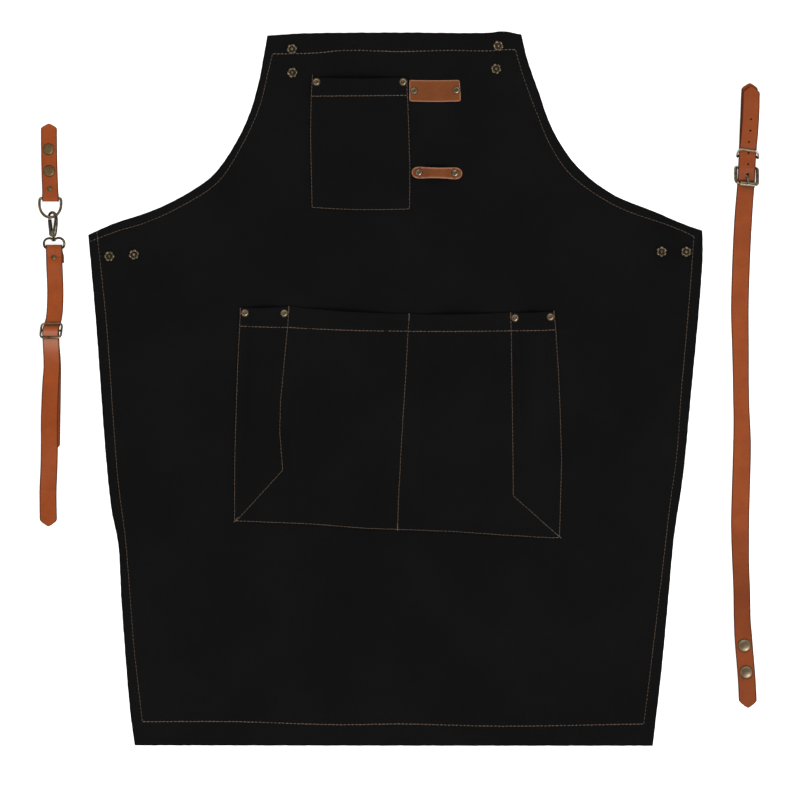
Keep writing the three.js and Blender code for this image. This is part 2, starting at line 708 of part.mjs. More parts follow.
const pin = new THREE.CylinderGeometry(GATE_PIN.radius, GATE_PIN.radius, CHEEK.outer * 2 - 0.4, 8);
pin.rotateX(Math.PI / 2);
pin.translate(GATE_PIN.back, GATE_PIN.along, 0);
addPiece('hook_body', join(
  spine,
  button,
  plate(cheekShape, CHEEK.inner, CHEEK.outer),
  plate(cheekShape, -CHEEK.outer, -CHEEK.inner),
  pin,
), OLD_BRASS, hook);

// Gate: turns about its pin, into the hook.
const gateShape = new THREE.Shape();
gateShape.moveTo(-4.9, 8.6);
gateShape.absarc(GATE_PIN.back, GATE_PIN.along, 1.7, Math.PI * 1.1, Math.PI * 1.9, false);
gateShape.lineTo(-1.9, 10.5);
gateShape.lineTo(-3.5, 22);
gateShape.lineTo(-3.9, 25.8);
gateShape.lineTo(-5.9, 25.8);
gateShape.lineTo(-5.9, 20);
gateShape.lineTo(-5.3, 12);
gateShape.lineTo(-4.9, 8.6);
gateShape.holes.push(roundHole(GATE_PIN.back, GATE_PIN.along, GATE_PIN.radius + GAP));
addPiece('hook_gate', plate(gateShape, -1.35, 1.35, 3), OLD_BRASS, hook);

// Swivel eye: a collar round the hook's pin and a half-moon of wire to its bar in the strap.
const EYE_BAR = { x: -392.6, y: 160.5, z: 3.9 };
const COLLAR = { inner: SWIVEL_PIN + GAP, outer: 2.5, low: 1.7, high: 4.6 };
const collar = new THREE.LatheGeometry([
  new THREE.Vector2(COLLAR.inner, COLLAR.low),
  new THREE.Vector2(COLLAR.outer, COLLAR.low),
  new THREE.Vector2(COLLAR.outer, COLLAR.high),
  new THREE.Vector2(COLLAR.inner, COLLAR.high),
  new THREE.Vector2(COLLAR.inner, COLLAR.low),
], 12);
collar.rotateZ(HOOK_LEAN);
collar.translate(hook.position.x, hook.position.y, HOOK_Z);
const EYE = [
  { across: 1.6, rise: 9.9 },
  { across: 5.2, rise: 10.9 },
  { across: 9.3, rise: 9.5 },
  { across: 11.5, rise: 6 },
  { across: 11.4, rise: 2.2 },
  { across: 9.9, rise: 0 },
  { across: 6, rise: 0 },
  { across: 0, rise: 0 },
  { across: -6, rise: 0 },
  { across: -9.9, rise: 0 },
  { across: -11.4, rise: 2.2 },
  { across: -11.5, rise: 6 },
  { across: -9.3, rise: 9.3 },
  { across: -5.6, rise: 10.5 },
  { across: -2.6, rise: 9.9 },
];
const eyeRoute = EYE.map(({ across, rise }) => new THREE.Vector3(
  EYE_BAR.x + across,
  EYE_BAR.y + rise,
  EYE_BAR.z + Math.min(9.8, rise) / 9.8 * (HOOK_Z - EYE_BAR.z),
));
addPiece('swivel_eye', join(rod(eyeRoute, [EYE_WIRE, EYE_WIRE], 32), collar), OLD_BRASS);

// Slider: a wire frame with a centre bar; the strap goes under, over and under its bars.
const SLIDER = {
  x: -396,
  half: 11.8,
  top: { y: 73.9, z: 3.6 },
  middle: { y: 66, z: 3.9 },
  bottom: { y: 58.05, z: 6.3 },
  corner: 2.3,
  skew: 0.6,
};
const sliderRoute = framed([
  new THREE.Vector3(SLIDER.x + SLIDER.skew - SLIDER.half, SLIDER.top.y, SLIDER.top.z),
  new THREE.Vector3(SLIDER.x + SLIDER.skew + SLIDER.half, SLIDER.top.y, SLIDER.top.z),
  new THREE.Vector3(SLIDER.x - SLIDER.skew + SLIDER.half, SLIDER.bottom.y, SLIDER.bottom.z),
  new THREE.Vector3(SLIDER.x - SLIDER.skew - SLIDER.half, SLIDER.bottom.y, SLIDER.bottom.z),
], SLIDER.corner);
const centreBar = new THREE.CylinderGeometry(SLIDER_WIRE, SLIDER_WIRE, 2 * SLIDER.half, 8);
centreBar.rotateZ(Math.PI / 2);
centreBar.translate(SLIDER.x, SLIDER.middle.y, SLIDER.middle.z);
addPiece('strap_slider', join(wireLoop(sliderRoute, SLIDER_WIRE, 36), centreBar), OLD_BRASS);

// Waist strap: folded round the eye's bar and riveted, woven through the slider, then laid
// over its end tab down to the floor and its tip.
const eyeFold = EYE_WIRE + GAP + LEATHER / 2;
const barFold = SLIDER_WIRE + GAP + LEATHER / 2;
const overFold = SLIDER_WIRE + GAP + SKIVED + GAP + LEATHER / 2;
const WAIST_STRAP_PLAN = [
  { y: 164, x: -392.8 },
  { y: 142, x: -392.4 },
  { y: 106, x: -391.4 },
  { y: 80, x: -393 },
  { y: 66, x: -396.6 },
  { y: 52, x: -396.5 },
  { y: 24, x: -396 },
  { y: -13, x: -397 },
  { y: -63, x: -398.2 },
  { y: -116, x: -399.8 },
  { y: -157, x: -399.5 },
];
const WAIST_RIVET = { x: -393, y: 149 };
const FOLD_SHIFT = { shift: 1.6 };
const waistStrap = strap({
  plan: WAIST_STRAP_PLAN,
  width: STRAP_WIDTH,
  tips: [{ shoulder: -149, apex: -156.5 }],
  route: [
    { y: 142.9, z: 1.75, ...FOLD_SHIFT },
    { y: 151.5, z: 1.75, ...FOLD_SHIFT },
    { y: 155, z: 1.6, shift: 0.6 },
    ...around(EYE_BAR, eyeFold, 272, 462, 9),
    { y: 154, z: 4.75 },
    { y: 151.5, z: 3.8 },
    { y: 141.5, z: 3.8 },
    { y: 132, z: 2.4 },
    { y: 121, z: 1.2 },
    { y: 112, z: 0.95 },
    { y: 90, z: 0.95 },
    { y: 80, z: 1.05 },
    ...around(SLIDER.top, barFold, 266, 216, 4),
    ...around(SLIDER.middle, overFold, 36, 121.5, 6),
    ...around(SLIDER.bottom, barFold, 301.5, 258, 4),
    { y: 48, z: 6.1 },
    { y: 36, z: 6.8 },
    { y: 22, z: 7.6 },
    { y: 6, z: 8.15 },
    { y: -52, z: 8.15 },
    { y: -68, z: 7.1 },
    { y: -88, z: 4.6 },
    { y: -104, z: 2.4 },
    { y: -117, z: 1.15 },
    { y: -128, z: 0.95 },
    { y: -149, z: 0.95 },
    { y: -156.5, z: 0.95 },
  ],
});
addPiece('waist_strap', cut(waistStrap, drill(WAIST_RIVET.x, WAIST_RIVET.y, SHANK_HOLE)), TAN_LEATHER);
addStrapRivet('waist_strap_rivet', WAIST_RIVET.x, WAIST_RIVET.y, 4.65);

// End tab behind the waist strap: looped on the slider's centre bar.
const endFold = SLIDER_WIRE + GAP + SKIVED / 2;
const THIN = { t: SKIVED };
const WAIST_END_SNAPS = [{ x: -395.4, y: -18.6 }, { x: -395.8, y: -43.3 }];
const WAIST_END_RIVET = { x: -396, y: 46.4 };
const waistEndTab = strap({
  plan: [
    { y: 70, x: -396.4 },
    { y: 48, x: -395.8 },
    { y: 24, x: -395.2 },
    { y: -13, x: -395.2 },
    { y: -72, x: -396.2 },
  ],
  width: STRAP_WIDTH,
  tips: [{ shoulder: -64, apex: -72.3 }],
  route: [
    { y: 41, z: 1.55, ...THIN },
    { y: 50, z: 1.55, ...THIN },
    { y: 55.5, z: 0.72, ...THIN },
    { y: 60, z: 0.68, ...THIN },
    ...around(SLIDER.middle, endFold, 250, 485, 10, THIN),
    { y: 60, z: 2.3, ...THIN },
    { y: 55.5, z: 2.24, ...THIN },
    { y: 50, z: 3.05, ...THIN },
    { y: 41, z: 3.1, ...THIN },
    { y: 30, z: 3.9 },
    { y: 16, z: 4.35 },
    { y: -10, z: SNAP_SEAT },
    { y: -52, z: SNAP_SEAT },
    { y: -64, z: 4.2 },
    { y: -72.3, z: 3.9 },
  ],
});
addPiece('waist_end_tab', cut(
  waistEndTab,
  ...WAIST_END_SNAPS.map(({ x, y }) => drill(x, y, POST_HOLE)),
  drill(WAIST_END_RIVET.x, WAIST_END_RIVET.y, SHANK_HOLE),
), TAN_LEATHER);
addSnap('waist_end_snap_1', WAIST_END_SNAPS[0].x, WAIST_END_SNAPS[0].y, FLAT_CAP, 1.3, false);
addSnap('waist_end_snap_2', WAIST_END_SNAPS[1].x, WAIST_END_SNAPS[1].y, FLAT_CAP, 1.3, false);
addStrapRivet('waist_end_rivet', WAIST_END_RIVET.x, WAIST_END_RIVET.y, 3.7);

// Buckle: a wire frame with its hinge bar under the neck strap and a roller at the front.
const BUCKLE = {
  x: 395.6,
  half: 12.9,
  hinge: { y: 251.2, z: 3.0 },
  front: { y: 232.9, z: 4.2 },
  corner: 2.8,
  slant: 0.045,
};
const slantDrop = BUCKLE.slant * BUCKLE.half;
const buckleRoute = framed([
  new THREE.Vector3(BUCKLE.x - BUCKLE.half, BUCKLE.hinge.y, BUCKLE.hinge.z),
  new THREE.Vector3(BUCKLE.x + BUCKLE.half, BUCKLE.hinge.y, BUCKLE.hinge.z),
  new THREE.Vector3(BUCKLE.x + BUCKLE.half, BUCKLE.front.y - slantDrop, BUCKLE.front.z),
  new THREE.Vector3(BUCKLE.x - BUCKLE.half, BUCKLE.front.y + slantDrop, BUCKLE.front.z),
], BUCKLE.corner);
addPiece('buckle_frame', wireLoop(buckleRoute, BUCKLE_WIRE, 36), OLD_BRASS);

const ROLLER_TUBE = { shift: 1.6, half: 8.6 };
const rollerTube = new THREE.LatheGeometry([
  new THREE.Vector2(BUCKLE_WIRE + GAP, -ROLLER_TUBE.half),
  new THREE.Vector2(ROLLER, -ROLLER_TUBE.half),
  new THREE.Vector2(ROLLER, ROLLER_TUBE.half),
  new THREE.Vector2(BUCKLE_WIRE + GAP, ROLLER_TUBE.half),
  new THREE.Vector2(BUCKLE_WIRE + GAP, -ROLLER_TUBE.half),
], 12);
rollerTube.translate(0, ROLLER_TUBE.shift, 0);
rollerTube.rotateZ(-Math.PI / 2 - Math.atan(BUCKLE.slant));
rollerTube.translate(BUCKLE.x, BUCKLE.front.y, BUCKLE.front.z);
addPiece('buckle_roller', closed(rollerTube), OLD_BRASS);

// Tongue: an eye on the hinge bar and an arm up through the strap's hole onto the roller.
const TONGUE = { x: 396.5, half: 1.05, eye: 2.55, lean: 0.07 };
const TONGUE_ARM = [
  { y: 249.2, z: 3.2 },
  { y: 247.4, z: 3.3 },
  { y: 245.4, z: 4.1 },
  { y: 243, z: 6.1 },
  { y: 239.5, z: 7.5 },
  { y: 235.4, z: 7.6 },
  { y: 232.9, z: 7.4 },
];
const tongueArm = bentBox(1, TONGUE_ARM.length - 1, (u, v, w) => {
  const { y, z } = TONGUE_ARM[v];
  const half = v === TONGUE_ARM.length - 1 ? TONGUE.half * 0.6 : TONGUE.half;
  const middle = TONGUE.x + TONGUE.lean * (TONGUE_ARM[0].y - y);
  return [middle + (u * 2 - 1) * half, y, z + (w - 0.5) * 1.5];
});
const tongueEye = new THREE.LatheGeometry([
  new THREE.Vector2(BUCKLE_WIRE + 0.25, -TONGUE.half),
  new THREE.Vector2(TONGUE.eye, -TONGUE.half),
  new THREE.Vector2(TONGUE.eye, TONGUE.half),
  new THREE.Vector2(BUCKLE_WIRE + 0.25, TONGUE.half),
  new THREE.Vector2(BUCKLE_WIRE + 0.25, -TONGUE.half),
], 14);
tongueEye.rotateZ(-Math.PI / 2);
tongueEye.translate(TONGUE.x, BUCKLE.hinge.y, BUCKLE.hinge.z);
addPiece('buckle_tongue', join(tongueArm, tongueEye), OLD_BRASS);

// Neck strap: from its snap end along the floor, under the roller and over the hinge bar,
// through the keeper to its tip, with the adjusting holes.
const NECK_PLAN = [
  { y: 343.5, x: 400.9 },
  { y: 334, x: 400.6 },
  { y: 315, x: 400 },
  { y: 301, x: 399.3 },
  { y: 287.5, x: 398.2 },
  { y: 274, x: 397 },
  { y: 254, x: 395.9 },
  { y: 238, x: 395.5 },
  { y: 203, x: 392.8 },
  { y: 169, x: 390.6 },
  { y: 123, x: 388.9 },
  { y: 89, x: 388.1 },
  { y: 44, x: 389.4 },
  { y: -13, x: 390.3 },
  { y: -59, x: 390.8 },
  { y: -127, x: 389 },
  { y: -150, x: 388.4 },
  { y: -195, x: 389.1 },
  { y: -264, x: 391.2 },
  { y: -286, x: 393 },
  { y: -332, x: 395.9 },
  { y: -363.5, x: 397.6 },
];
const NECK_SNAPS = [{ x: 393.2, y: -292.6 }, { x: 395.2, y: -323 }];
const NECK_HOLES = [
  { x: 400.6, y: 306.6 },
  { x: 399.8, y: 293.5 },
  { x: 398.2, y: 280.6 },
  { x: 397.6, y: 268.2 },
  { x: 397.3, y: 255.3 },
];
const rollerFold = ROLLER + GAP + LEATHER / 2;
const hingeFold = BUCKLE_WIRE + GAP + SKIVED + GAP + LEATHER / 2;
const neckStrap = strap({
  plan: NECK_PLAN,
  width: NECK_WIDTH,
  tips: [{ shoulder: -355, apex: -363.5 }, { shoulder: 336.5, apex: 343.5 }],
  route: [
    { y: -363.5, z: 3.8 },
    { y: -355, z: 4 },
    { y: -338, z: 4.4 },
    { y: -330, z: SNAP_SEAT },
    { y: -285, z: SNAP_SEAT },
    { y: -273, z: 3.9 },
    { y: -258, z: 2 },
    { y: -244, z: 1 },
    { y: -195, z: 0.95 },
    { y: -150, z: 0.95 },
    { y: -127, z: 0.95 },
    { y: -93, z: 0.95 },
    { y: -59, z: 0.95 },
    { y: -13, z: 0.95 },
    { y: 44, z: 0.95 },
    { y: 89, z: 0.95 },
    { y: 123, z: 0.95 },
    { y: 169, z: 0.95 },
    { y: 203, z: 0.95 },
    { y: 222, z: 0.95 },
    ...around(BUCKLE.front, rollerFold, 270, 289.4, 2),
    { y: 241, z: 3.6 },
    ...around(BUCKLE.hinge, hingeFold, 109.4, 88, 3),
    { y: 262, z: 7.1 },
    { y: 271, z: 7.35 },
    { y: 279, z: 8.15 },
    { y: 322, z: 8.15 },
    { y: 331, z: 7.95 },
    { y: 336.5, z: 7.75 },
    { y: 343.5, z: 7.45 },
  ],
});
const tongueSlot = new THREE.BoxGeometry(2 * TONGUE.half + 0.8, 5.8, 20);
tongueSlot.translate(TONGUE.x + 0.35, 244.3, 5);
addPiece('neck_strap', cut(
  neckStrap,
  ...NECK_HOLES.map(({ x, y }) => drill(x, y, 1.15, -5, 25, 8)),
  ...NECK_SNAPS.map(({ x, y }) => drill(x, y, POST_HOLE)),
  tongueSlot,
), TAN_LEATHER);
addSnap('neck_snap_1', NECK_SNAPS[0].x, NECK_SNAPS[0].y, DOME_CAP, 2.8, true);
addSnap('neck_snap_2', NECK_SNAPS[1].x, NECK_SNAPS[1].y, DOME_CAP, 2.8, true);

// Keeper: a wire loop round both layers, its front wire further up the strap.
const KEEPER = { x: 396.6, half: 11.7, back: { y: 265.4, z: 1.15 }, front: { y: 271.2, z: 9.8 } };
const keeperRoute = [
  { across: -9.6, y: KEEPER.back.y, z: KEEPER.back.z },
  { across: -8, y: KEEPER.back.y, z: KEEPER.back.z },
  { across: 8, y: KEEPER.back.y, z: KEEPER.back.z },
  { across: 9.6, y: KEEPER.back.y, z: KEEPER.back.z },
  { across: 11.3, y: KEEPER.back.y + 0.6, z: KEEPER.back.z + 1.4 },
  { across: KEEPER.half, y: KEEPER.back.y + 2, z: 5.2 },
  { across: 11.3, y: KEEPER.front.y - 1.4, z: KEEPER.front.z - 1.4 },
  { across: 9.4, y: KEEPER.front.y - 0.4, z: KEEPER.front.z },
  { across: 0, y: KEEPER.front.y + 0.4, z: KEEPER.front.z },
  { across: -6, y: KEEPER.front.y + 1, z: KEEPER.front.z },
  { across: -9.4, y: KEEPER.front.y + 0.4, z: KEEPER.front.z },
  { across: -11.3, y: KEEPER.front.y - 1.4, z: KEEPER.front.z - 1.4 },
  { across: -KEEPER.half, y: KEEPER.back.y + 2, z: 5.2 },
  { across: -11.3, y: KEEPER.back.y + 0.6, z: KEEPER.back.z + 1.4 },
].map(({ across, y, z }) => new THREE.Vector3(KEEPER.x + across, y, z));
addPiece('strap_keeper', wireLoop(keeperRoute, KEEPER_WIRE, 36, new THREE.Vector3(0, 1, 0)), OLD_BRASS);

// Neck tab behind the strap, a little longer and further left: looped on the buckle's hinge
// bar, slotted for the tongue.
const tabFold = BUCKLE_WIRE + GAP + SKIVED / 2;
const NECK_TAB_SNAPS = [{ x: 397.9, y: 312.7 }, { x: 396.9, y: 287.9 }];
const NECK_TAB_RIVET = { x: 396.2, y: 259.2 };
const neckTab = strap({
  plan: [
    { y: 347.6, x: 399.4 },
    { y: 340, x: 399.1 },
    { y: 328, x: 398.5 },
    { y: 312, x: 397.9 },
    { y: 288, x: 396.9 },
    { y: 268, x: 396.3 },
    { y: 248, x: 396 },
  ],
  width: STRAP_WIDTH,
  tips: [{ shoulder: 341, apex: 347.6 }],
  route: [
    { y: 347.6, z: 3.9 },
    { y: 341, z: 4.15 },
    { y: 330, z: 4.4 },
    { y: 322, z: SNAP_SEAT },
    { y: 280, z: SNAP_SEAT },
    { y: 272, z: 4 },
    { y: 266.5, z: 3.55, t: 1.5 },
    { y: 262.3, z: 2.95, ...THIN },
    { y: 255.8, z: 2.95, ...THIN },
    ...around(BUCKLE.hinge, tabFold, 66, 275, 9, THIN),
    { y: 255, z: 1.2, ...THIN },
    { y: 256.4, z: 1.4, ...THIN },
    { y: 263, z: 1.4, ...THIN },
  ],
});
const eyeSlot = new THREE.BoxGeometry(2 * TONGUE.half + 0.7, 9, 9);
eyeSlot.translate(TONGUE.x, 249.7, 3);
addPiece('neck_tab', cut(
  neckTab,
  ...NECK_TAB_SNAPS.map(({ x, y }) => drill(x, y, POST_HOLE)),
  drill(NECK_TAB_RIVET.x, NECK_TAB_RIVET.y, SHANK_HOLE),
  eyeSlot,
), TAN_LEATHER);
addSnap('neck_tab_snap_1', NECK_TAB_SNAPS[0].x, NECK_TAB_SNAPS[0].y, FLAT_CAP, 1.3, false);
addSnap('neck_tab_snap_2', NECK_TAB_SNAPS[1].x, NECK_TAB_SNAPS[1].y, FLAT_CAP, 1.3, false);
addStrapRivet('neck_tab_rivet', NECK_TAB_RIVET.x, NECK_TAB_RIVET.y, 3.55);

export default apron;
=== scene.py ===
import math
import random

import bmesh
import bpy
import numpy as np
from mathutils import Matrix, Vector


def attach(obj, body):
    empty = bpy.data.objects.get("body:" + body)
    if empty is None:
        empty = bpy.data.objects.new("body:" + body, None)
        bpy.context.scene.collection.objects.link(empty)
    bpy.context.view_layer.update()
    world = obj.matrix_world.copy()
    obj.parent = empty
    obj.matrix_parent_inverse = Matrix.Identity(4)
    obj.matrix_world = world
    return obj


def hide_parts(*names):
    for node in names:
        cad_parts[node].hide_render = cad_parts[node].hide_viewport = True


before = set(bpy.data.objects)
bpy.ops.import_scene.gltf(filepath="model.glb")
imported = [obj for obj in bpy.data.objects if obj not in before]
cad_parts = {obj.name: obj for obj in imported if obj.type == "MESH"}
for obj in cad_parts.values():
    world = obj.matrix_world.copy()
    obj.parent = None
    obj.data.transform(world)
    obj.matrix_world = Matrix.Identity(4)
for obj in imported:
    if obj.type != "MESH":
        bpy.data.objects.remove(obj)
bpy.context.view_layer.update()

MM = 0.001
ROOT = "apron"
HOOK = "hook"
GATE = "gate"

# Photograph: 800 px across, taken from straight above.
PICTURE_PX = 800
MM_PER_PX = 1.139
PICTURE_MIDDLE = (1.1, -13.1)
CAMERA_HEIGHT = 10.0
SENSOR_WIDTH = 36

# Cloth and leather thicknesses and the heights that the layers lie at.
CLOTH = 1.0
PANEL_TOP = 2.0
POCKET_BASE = 2.3
POCKET_HEM = 1.8
LEATHER = 1.7
PLATE = 1.6
SKIVED = 1.2
GAP = 0.3
SNAP_SEAT = 4.45
MOUTH_Z = POCKET_BASE + POCKET_HEM
FLOOR_Z = POCKET_BASE + CLOTH

# Stitches: their pitch and size, and half widths of the thread.
STITCH_PITCH = 4.4
STITCH_LENGTH = 4.05
STITCH_HEIGHT = 0.4
HEM_THREAD = 0.5
SIDE_THREAD = 0.3
ROW_THREAD = 0.41
SEAM_THREAD = 0.31
# Sink of a stitch's ends, its slant and how it strays.
STITCH_SINK, SLANT, SLANT_SPREAD, STRAY = 0.12, 0.07, 0.05, 0.12
# Bartacks: stitches, their pitch along the tack, its width, thread and height.
TACK_COUNT, TACK_PITCH, TACK_WIDTH, TACK_THREAD, TACK_HEIGHT = 8, 0.95, 1.15, 0.42, 0.5

# Small scallops that the hem stitching pulls into the cloth's edge.
SCALLOP = 0.12
SCALLOP_PITCH = 13.0
SCALLOP_FADE = 15

# Strap sections: rounding of the edges and where the flat sides have points, as shares of a half.
EDGE_BEND = 0.55
FLAT_SHARES = (0.95, 0.87, 0.7, 0.45, 0.22, 0, -0.22, -0.45, -0.7, -0.87, -0.95)
CROWN = 0.06
# Share of the half width where the dark edge starts, and how fast it sets in.
EDGE_STARTS, EDGE_RISE = 0.87, 8
TIP_HALF = 0.9
TIP_ROUND = 1.45
# Painted shade on an end that is folded under the layer above it.
UNDER_SHADE = 0.45
# Distance of the rings along a wire.
TUBE_SPACING = 0.8
# Upward part of a wire's surface normal where its painted shade starts, how much earlier it starts on
# the inner side of a frame, and how fast it thickens.
SIDE_SHADE_STARTS = 0.6
INNER_SIDE_SHADE = 0.5
SIDE_SHADE_BLEND = 0.35
# Colours that metal turns to under its dark mark: patina in recesses, painted shade and painted reflection
# elsewhere.
BLACK_PATINA_AND_SHADE = (0.012, 0.008, 0.005)
COPPER_PATINA_AND_SHADE = (0.045, 0.027, 0.012)
# What darker tone and painted shade on the straps are multiplied by, and the colour of the painted sheen,
# which at a small share is also a slight tint.
TONE_AND_SHADE_TINT = (0.3, 0.24, 0.2)
SHEEN_TINT = (0.44, 0.2, 0.13)

rng = random.Random(7)


# Curves and meshes

def smooth_path(points, spacing, closed=False):
    """Rows along a smooth curve through the given rows, about spacing apart."""
    p = np.asarray(points, float)
    count = len(p)
    rows = []
    for i in range(count if closed else count - 1):
        b, c = p[i], p[(i + 1) % count]
        a = p[i - 1] if closed or i else 2 * b - c
        d = p[(i + 2) % count] if closed or i + 2 < count else 2 * c - b
        t1 = np.linalg.norm(b - a) ** 0.5
        t2 = t1 + np.linalg.norm(c - b) ** 0.5
        t3 = t2 + np.linalg.norm(d - c) ** 0.5
        steps = max(1, math.ceil(np.linalg.norm(c - b) / spacing))
        for k in range(steps):
            t = t1 + (t2 - t1) * k / steps
            a1 = a + (b - a) * t / t1
            a2 = b + (c - b) * (t - t1) / (t2 - t1)
            a3 = c + (d - c) * (t - t2) / (t3 - t2)
            b1 = a1 + (a2 - a1) * t / t2
            b2 = a2 + (a3 - a2) * (t - t1) / (t3 - t1)
            rows.append(b1 + (b2 - b1) * (t - t1) / (t2 - t1))
    if not closed:
        rows.append(p[-1])
    return np.array(rows)


def smoothstep(x):
    x = np.clip(x, 0, 1)
    return x * x * (3 - 2 * x)


def directions(path, closed=False):
    """Unit vectors along a path."""
    ahead = np.roll(path, -1, 0) - np.roll(path, 1, 0) if closed else np.gradient(path, axis=0)
    return ahead / np.linalg.norm(ahead, axis=1, keepdims=True)


def lengths_along(path):
    return np.concatenate([[0], np.cumsum(np.linalg.norm(np.diff(path, axis=0), axis=1))])


def circle(sides):
    return [2 * math.pi * k / sides for k in range(sides)]


def loft(rings, closed=False):
    """Vertices and faces of a skin over rings with equally many points."""
    rings = np.asarray(rings, float)
    index = np.arange(rings.size // 3).reshape(rings.shape[:2])
    low = index if closed else index[:-1]
    high = np.roll(index, -1, 0)[:len(low)]
    faces = np.stack([low, np.roll(low, -1, 1), np.roll(high, -1, 1), high], 2).reshape(-1, 4).tolist()
    if not closed:
        faces += [index[0, ::-1].tolist(), index[-1].tolist()]
    return rings.reshape(-1, 3), faces


def tube(points, radii, closed=False, sides=18):
    """A round wire along a smooth route; radii is one number or one for each point."""
    points = np.asarray(points, float)
    radii = np.broadcast_to(np.asarray(radii, float), (len(points),))
    rows = smooth_path(np.column_stack([points, radii]), TUBE_SPACING, closed)
    path, radius = rows[:, :3], rows[:, 3]
    ahead = directions(path, closed)
    side = np.cross(ahead[0], (0.3, 0.2, 1.0))
    rings = []
    for at, way, r in zip(path, ahead, radius):
        side = side - way * side.dot(way)
        side /= np.linalg.norm(side)
        top = np.cross(way, side)
        rings.append([at + r * (math.cos(t) * side + math.sin(t) * top) for t in circle(sides)])
    return loft(rings, closed)


def lathe(profile, sides=40, lobes=0, turn=0.0):
    """A turned shape on Z and its dark mark; a row is radius, height, dark mark, lobe and dip."""
    rings, patina_and_shade = [], []
    for row in profile[::-1]:
        radius, height, dark, lobe, dip = tuple(row) + (0,) * (5 - len(row))
        ring = []
        for t in circle(sides):
            petal = 2 * abs(math.cos(lobes * t / 2)) ** 0.7 - 1
            r = max(0.01, radius + lobe * petal)
            ring.append((r * math.cos(t + turn), r * math.sin(t + turn), height + dip * petal))
        rings.append(ring)
        patina_and_shade += [dark] * sides
    return loft(rings), patina_and_shade


def turned_ring(profile, sides=32):
    """A ring about Z; a profile row is radius and height."""
    return loft([[(r * math.cos(t), r * math.sin(t), h) for r, h in profile] for t in circle(sides)], True)


def solid_sheet(top, bottom):
    """Closed mesh between two grids of points; both are indexed [column, row]."""
    verts = np.concatenate([top.reshape(-1, 3), bottom.reshape(-1, 3)])
    under = len(verts) // 2
    index = np.arange(under).reshape(top.shape[:2])
    quads = np.stack([index[:-1, :-1], index[1:, :-1], index[1:, 1:], index[:-1, 1:]], 2).reshape(-1, 4)
    faces = np.stack([quads, under + quads[:, ::-1]], 1).reshape(-1, 4)
    rim = np.concatenate([index[:, 0], index[-1, 1:], index[-2::-1, -1], index[0, -2:0:-1]])
    ahead = np.roll(rim, -1)
    sides = np.column_stack([ahead, rim, under + rim, under + ahead])
    return verts, np.concatenate([faces, sides]).tolist()


def placed(shape, matrix):
    verts, faces = shape
    return np.array([matrix @ Vector(v) for v in verts]), faces


def moved(shape, x, y, z):
    return np.asarray(shape[0]) + (x, y, z), shape[1]


def several(shapes):
    """One vertex and face list out of several."""
    verts, faces, start = [], [], 0
    for part_verts, part_faces in shapes:
        verts.append(np.asarray(part_verts))
        faces += [tuple(start + k for k in face) for face in part_faces]
        start += len(part_verts)
    return np.concatenate(verts), faces


def make_object(name, shape, sharp_deg=40):
    mesh = bpy.data.meshes.new(name)
    mesh.from_pydata((np.asarray(shape[0]) * MM).tolist(), [], shape[1])
    work = bmesh.new()
    work.from_mesh(mesh)
    if work.calc_volume(signed=True) < 0:
        bmesh.ops.reverse_faces(work, faces=work.faces)
        work.to_mesh(mesh)
    work.free()
    mesh.update()
    mesh.polygons.foreach_set("use_smooth", [True] * len(mesh.polygons))
    mesh.set_sharp_from_angle(angle=math.radians(sharp_deg))
    piece = bpy.data.objects.new(name, mesh)
    bpy.context.scene.collection.objects.link(piece)
    return piece


def boolean(piece, others, operation):
    """Cuts or adds other objects, which are used up, and keeps the result in the mesh."""
    for other in others:
        modifier = piece.modifiers.new("boolean", "BOOLEAN")
        modifier.operation = operation
        modifier.solver = "MANIFOLD"
        modifier.object = other
    graph = bpy.context.evaluated_depsgraph_get()
    result = bpy.data.meshes.new_from_object(piece.evaluated_get(graph))
    piece.modifiers.clear()
    piece.data = result
    for other in others:
        bpy.data.objects.remove(other)


def add_painted_shade(piece, deep):
    """Marks the sides of a wire frame, and what lies below a height, with painted shade."""
    mesh = piece.data
    mesh.update()
    places, normals = np.empty((2, 3 * len(mesh.vertices)))
    mesh.vertices.foreach_get("co", places)
    mesh.vertex_normals.foreach_get("vector", normals)
    places, normals = places.reshape(-1, 3), normals.reshape(-1, 3)
    outward = places[:, :2] - places[:, :2].mean(0)
    outward /= np.linalg.norm(outward, axis=1, keepdims=True) + MM
    # Painted shade: darker where the surface turns away from straight up, sooner on a frame's inner side.
    inner = np.clip(-(outward * normals[:, :2]).sum(1), 0, 1)
    sides = np.clip((SIDE_SHADE_STARTS + INNER_SIDE_SHADE * inner - normals[:, 2]) / SIDE_SHADE_BLEND, 0, 1)
    layer = mesh.attributes.new("patina_and_shade", "FLOAT", "POINT")
    layer.data.foreach_set("value", np.maximum(sides, places[:, 2] < deep * MM).astype(np.float32))


def add_piece(name, shape, material, slot=None, nodes=(), body=ROOT, cutters=(), joined=(),
              marks=None, sharp_deg=40, shade_below=None):
    """A shown piece: its mesh and marks, its finish, its body and the CAD nodes it stands for."""
    piece = make_object(name, shape, sharp_deg)
    for mark, values in (marks or {}).items():
        layer = piece.data.attributes.new(mark, "FLOAT", "POINT")
        layer.data.foreach_set("value", np.asarray(values, np.float32))
    if joined:
        boolean(piece, [make_object("join", part, sharp_deg) for part in joined], "UNION")
    if cutters:
        boolean(piece, [make_object("cut", part) for part in cutters], "DIFFERENCE")
    if shade_below is not None:
        add_painted_shade(piece, shade_below)
    piece.data.materials.clear()
    piece.data.materials.append(material)
    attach(piece, body)
    if nodes:
        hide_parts(*nodes)
    return piece


# Materials

def rgba(colour):
    """A colour with its alpha, out of three numbers or one grey."""
    return (*colour, 1) if isinstance(colour, tuple) else (colour, colour, colour, 1)


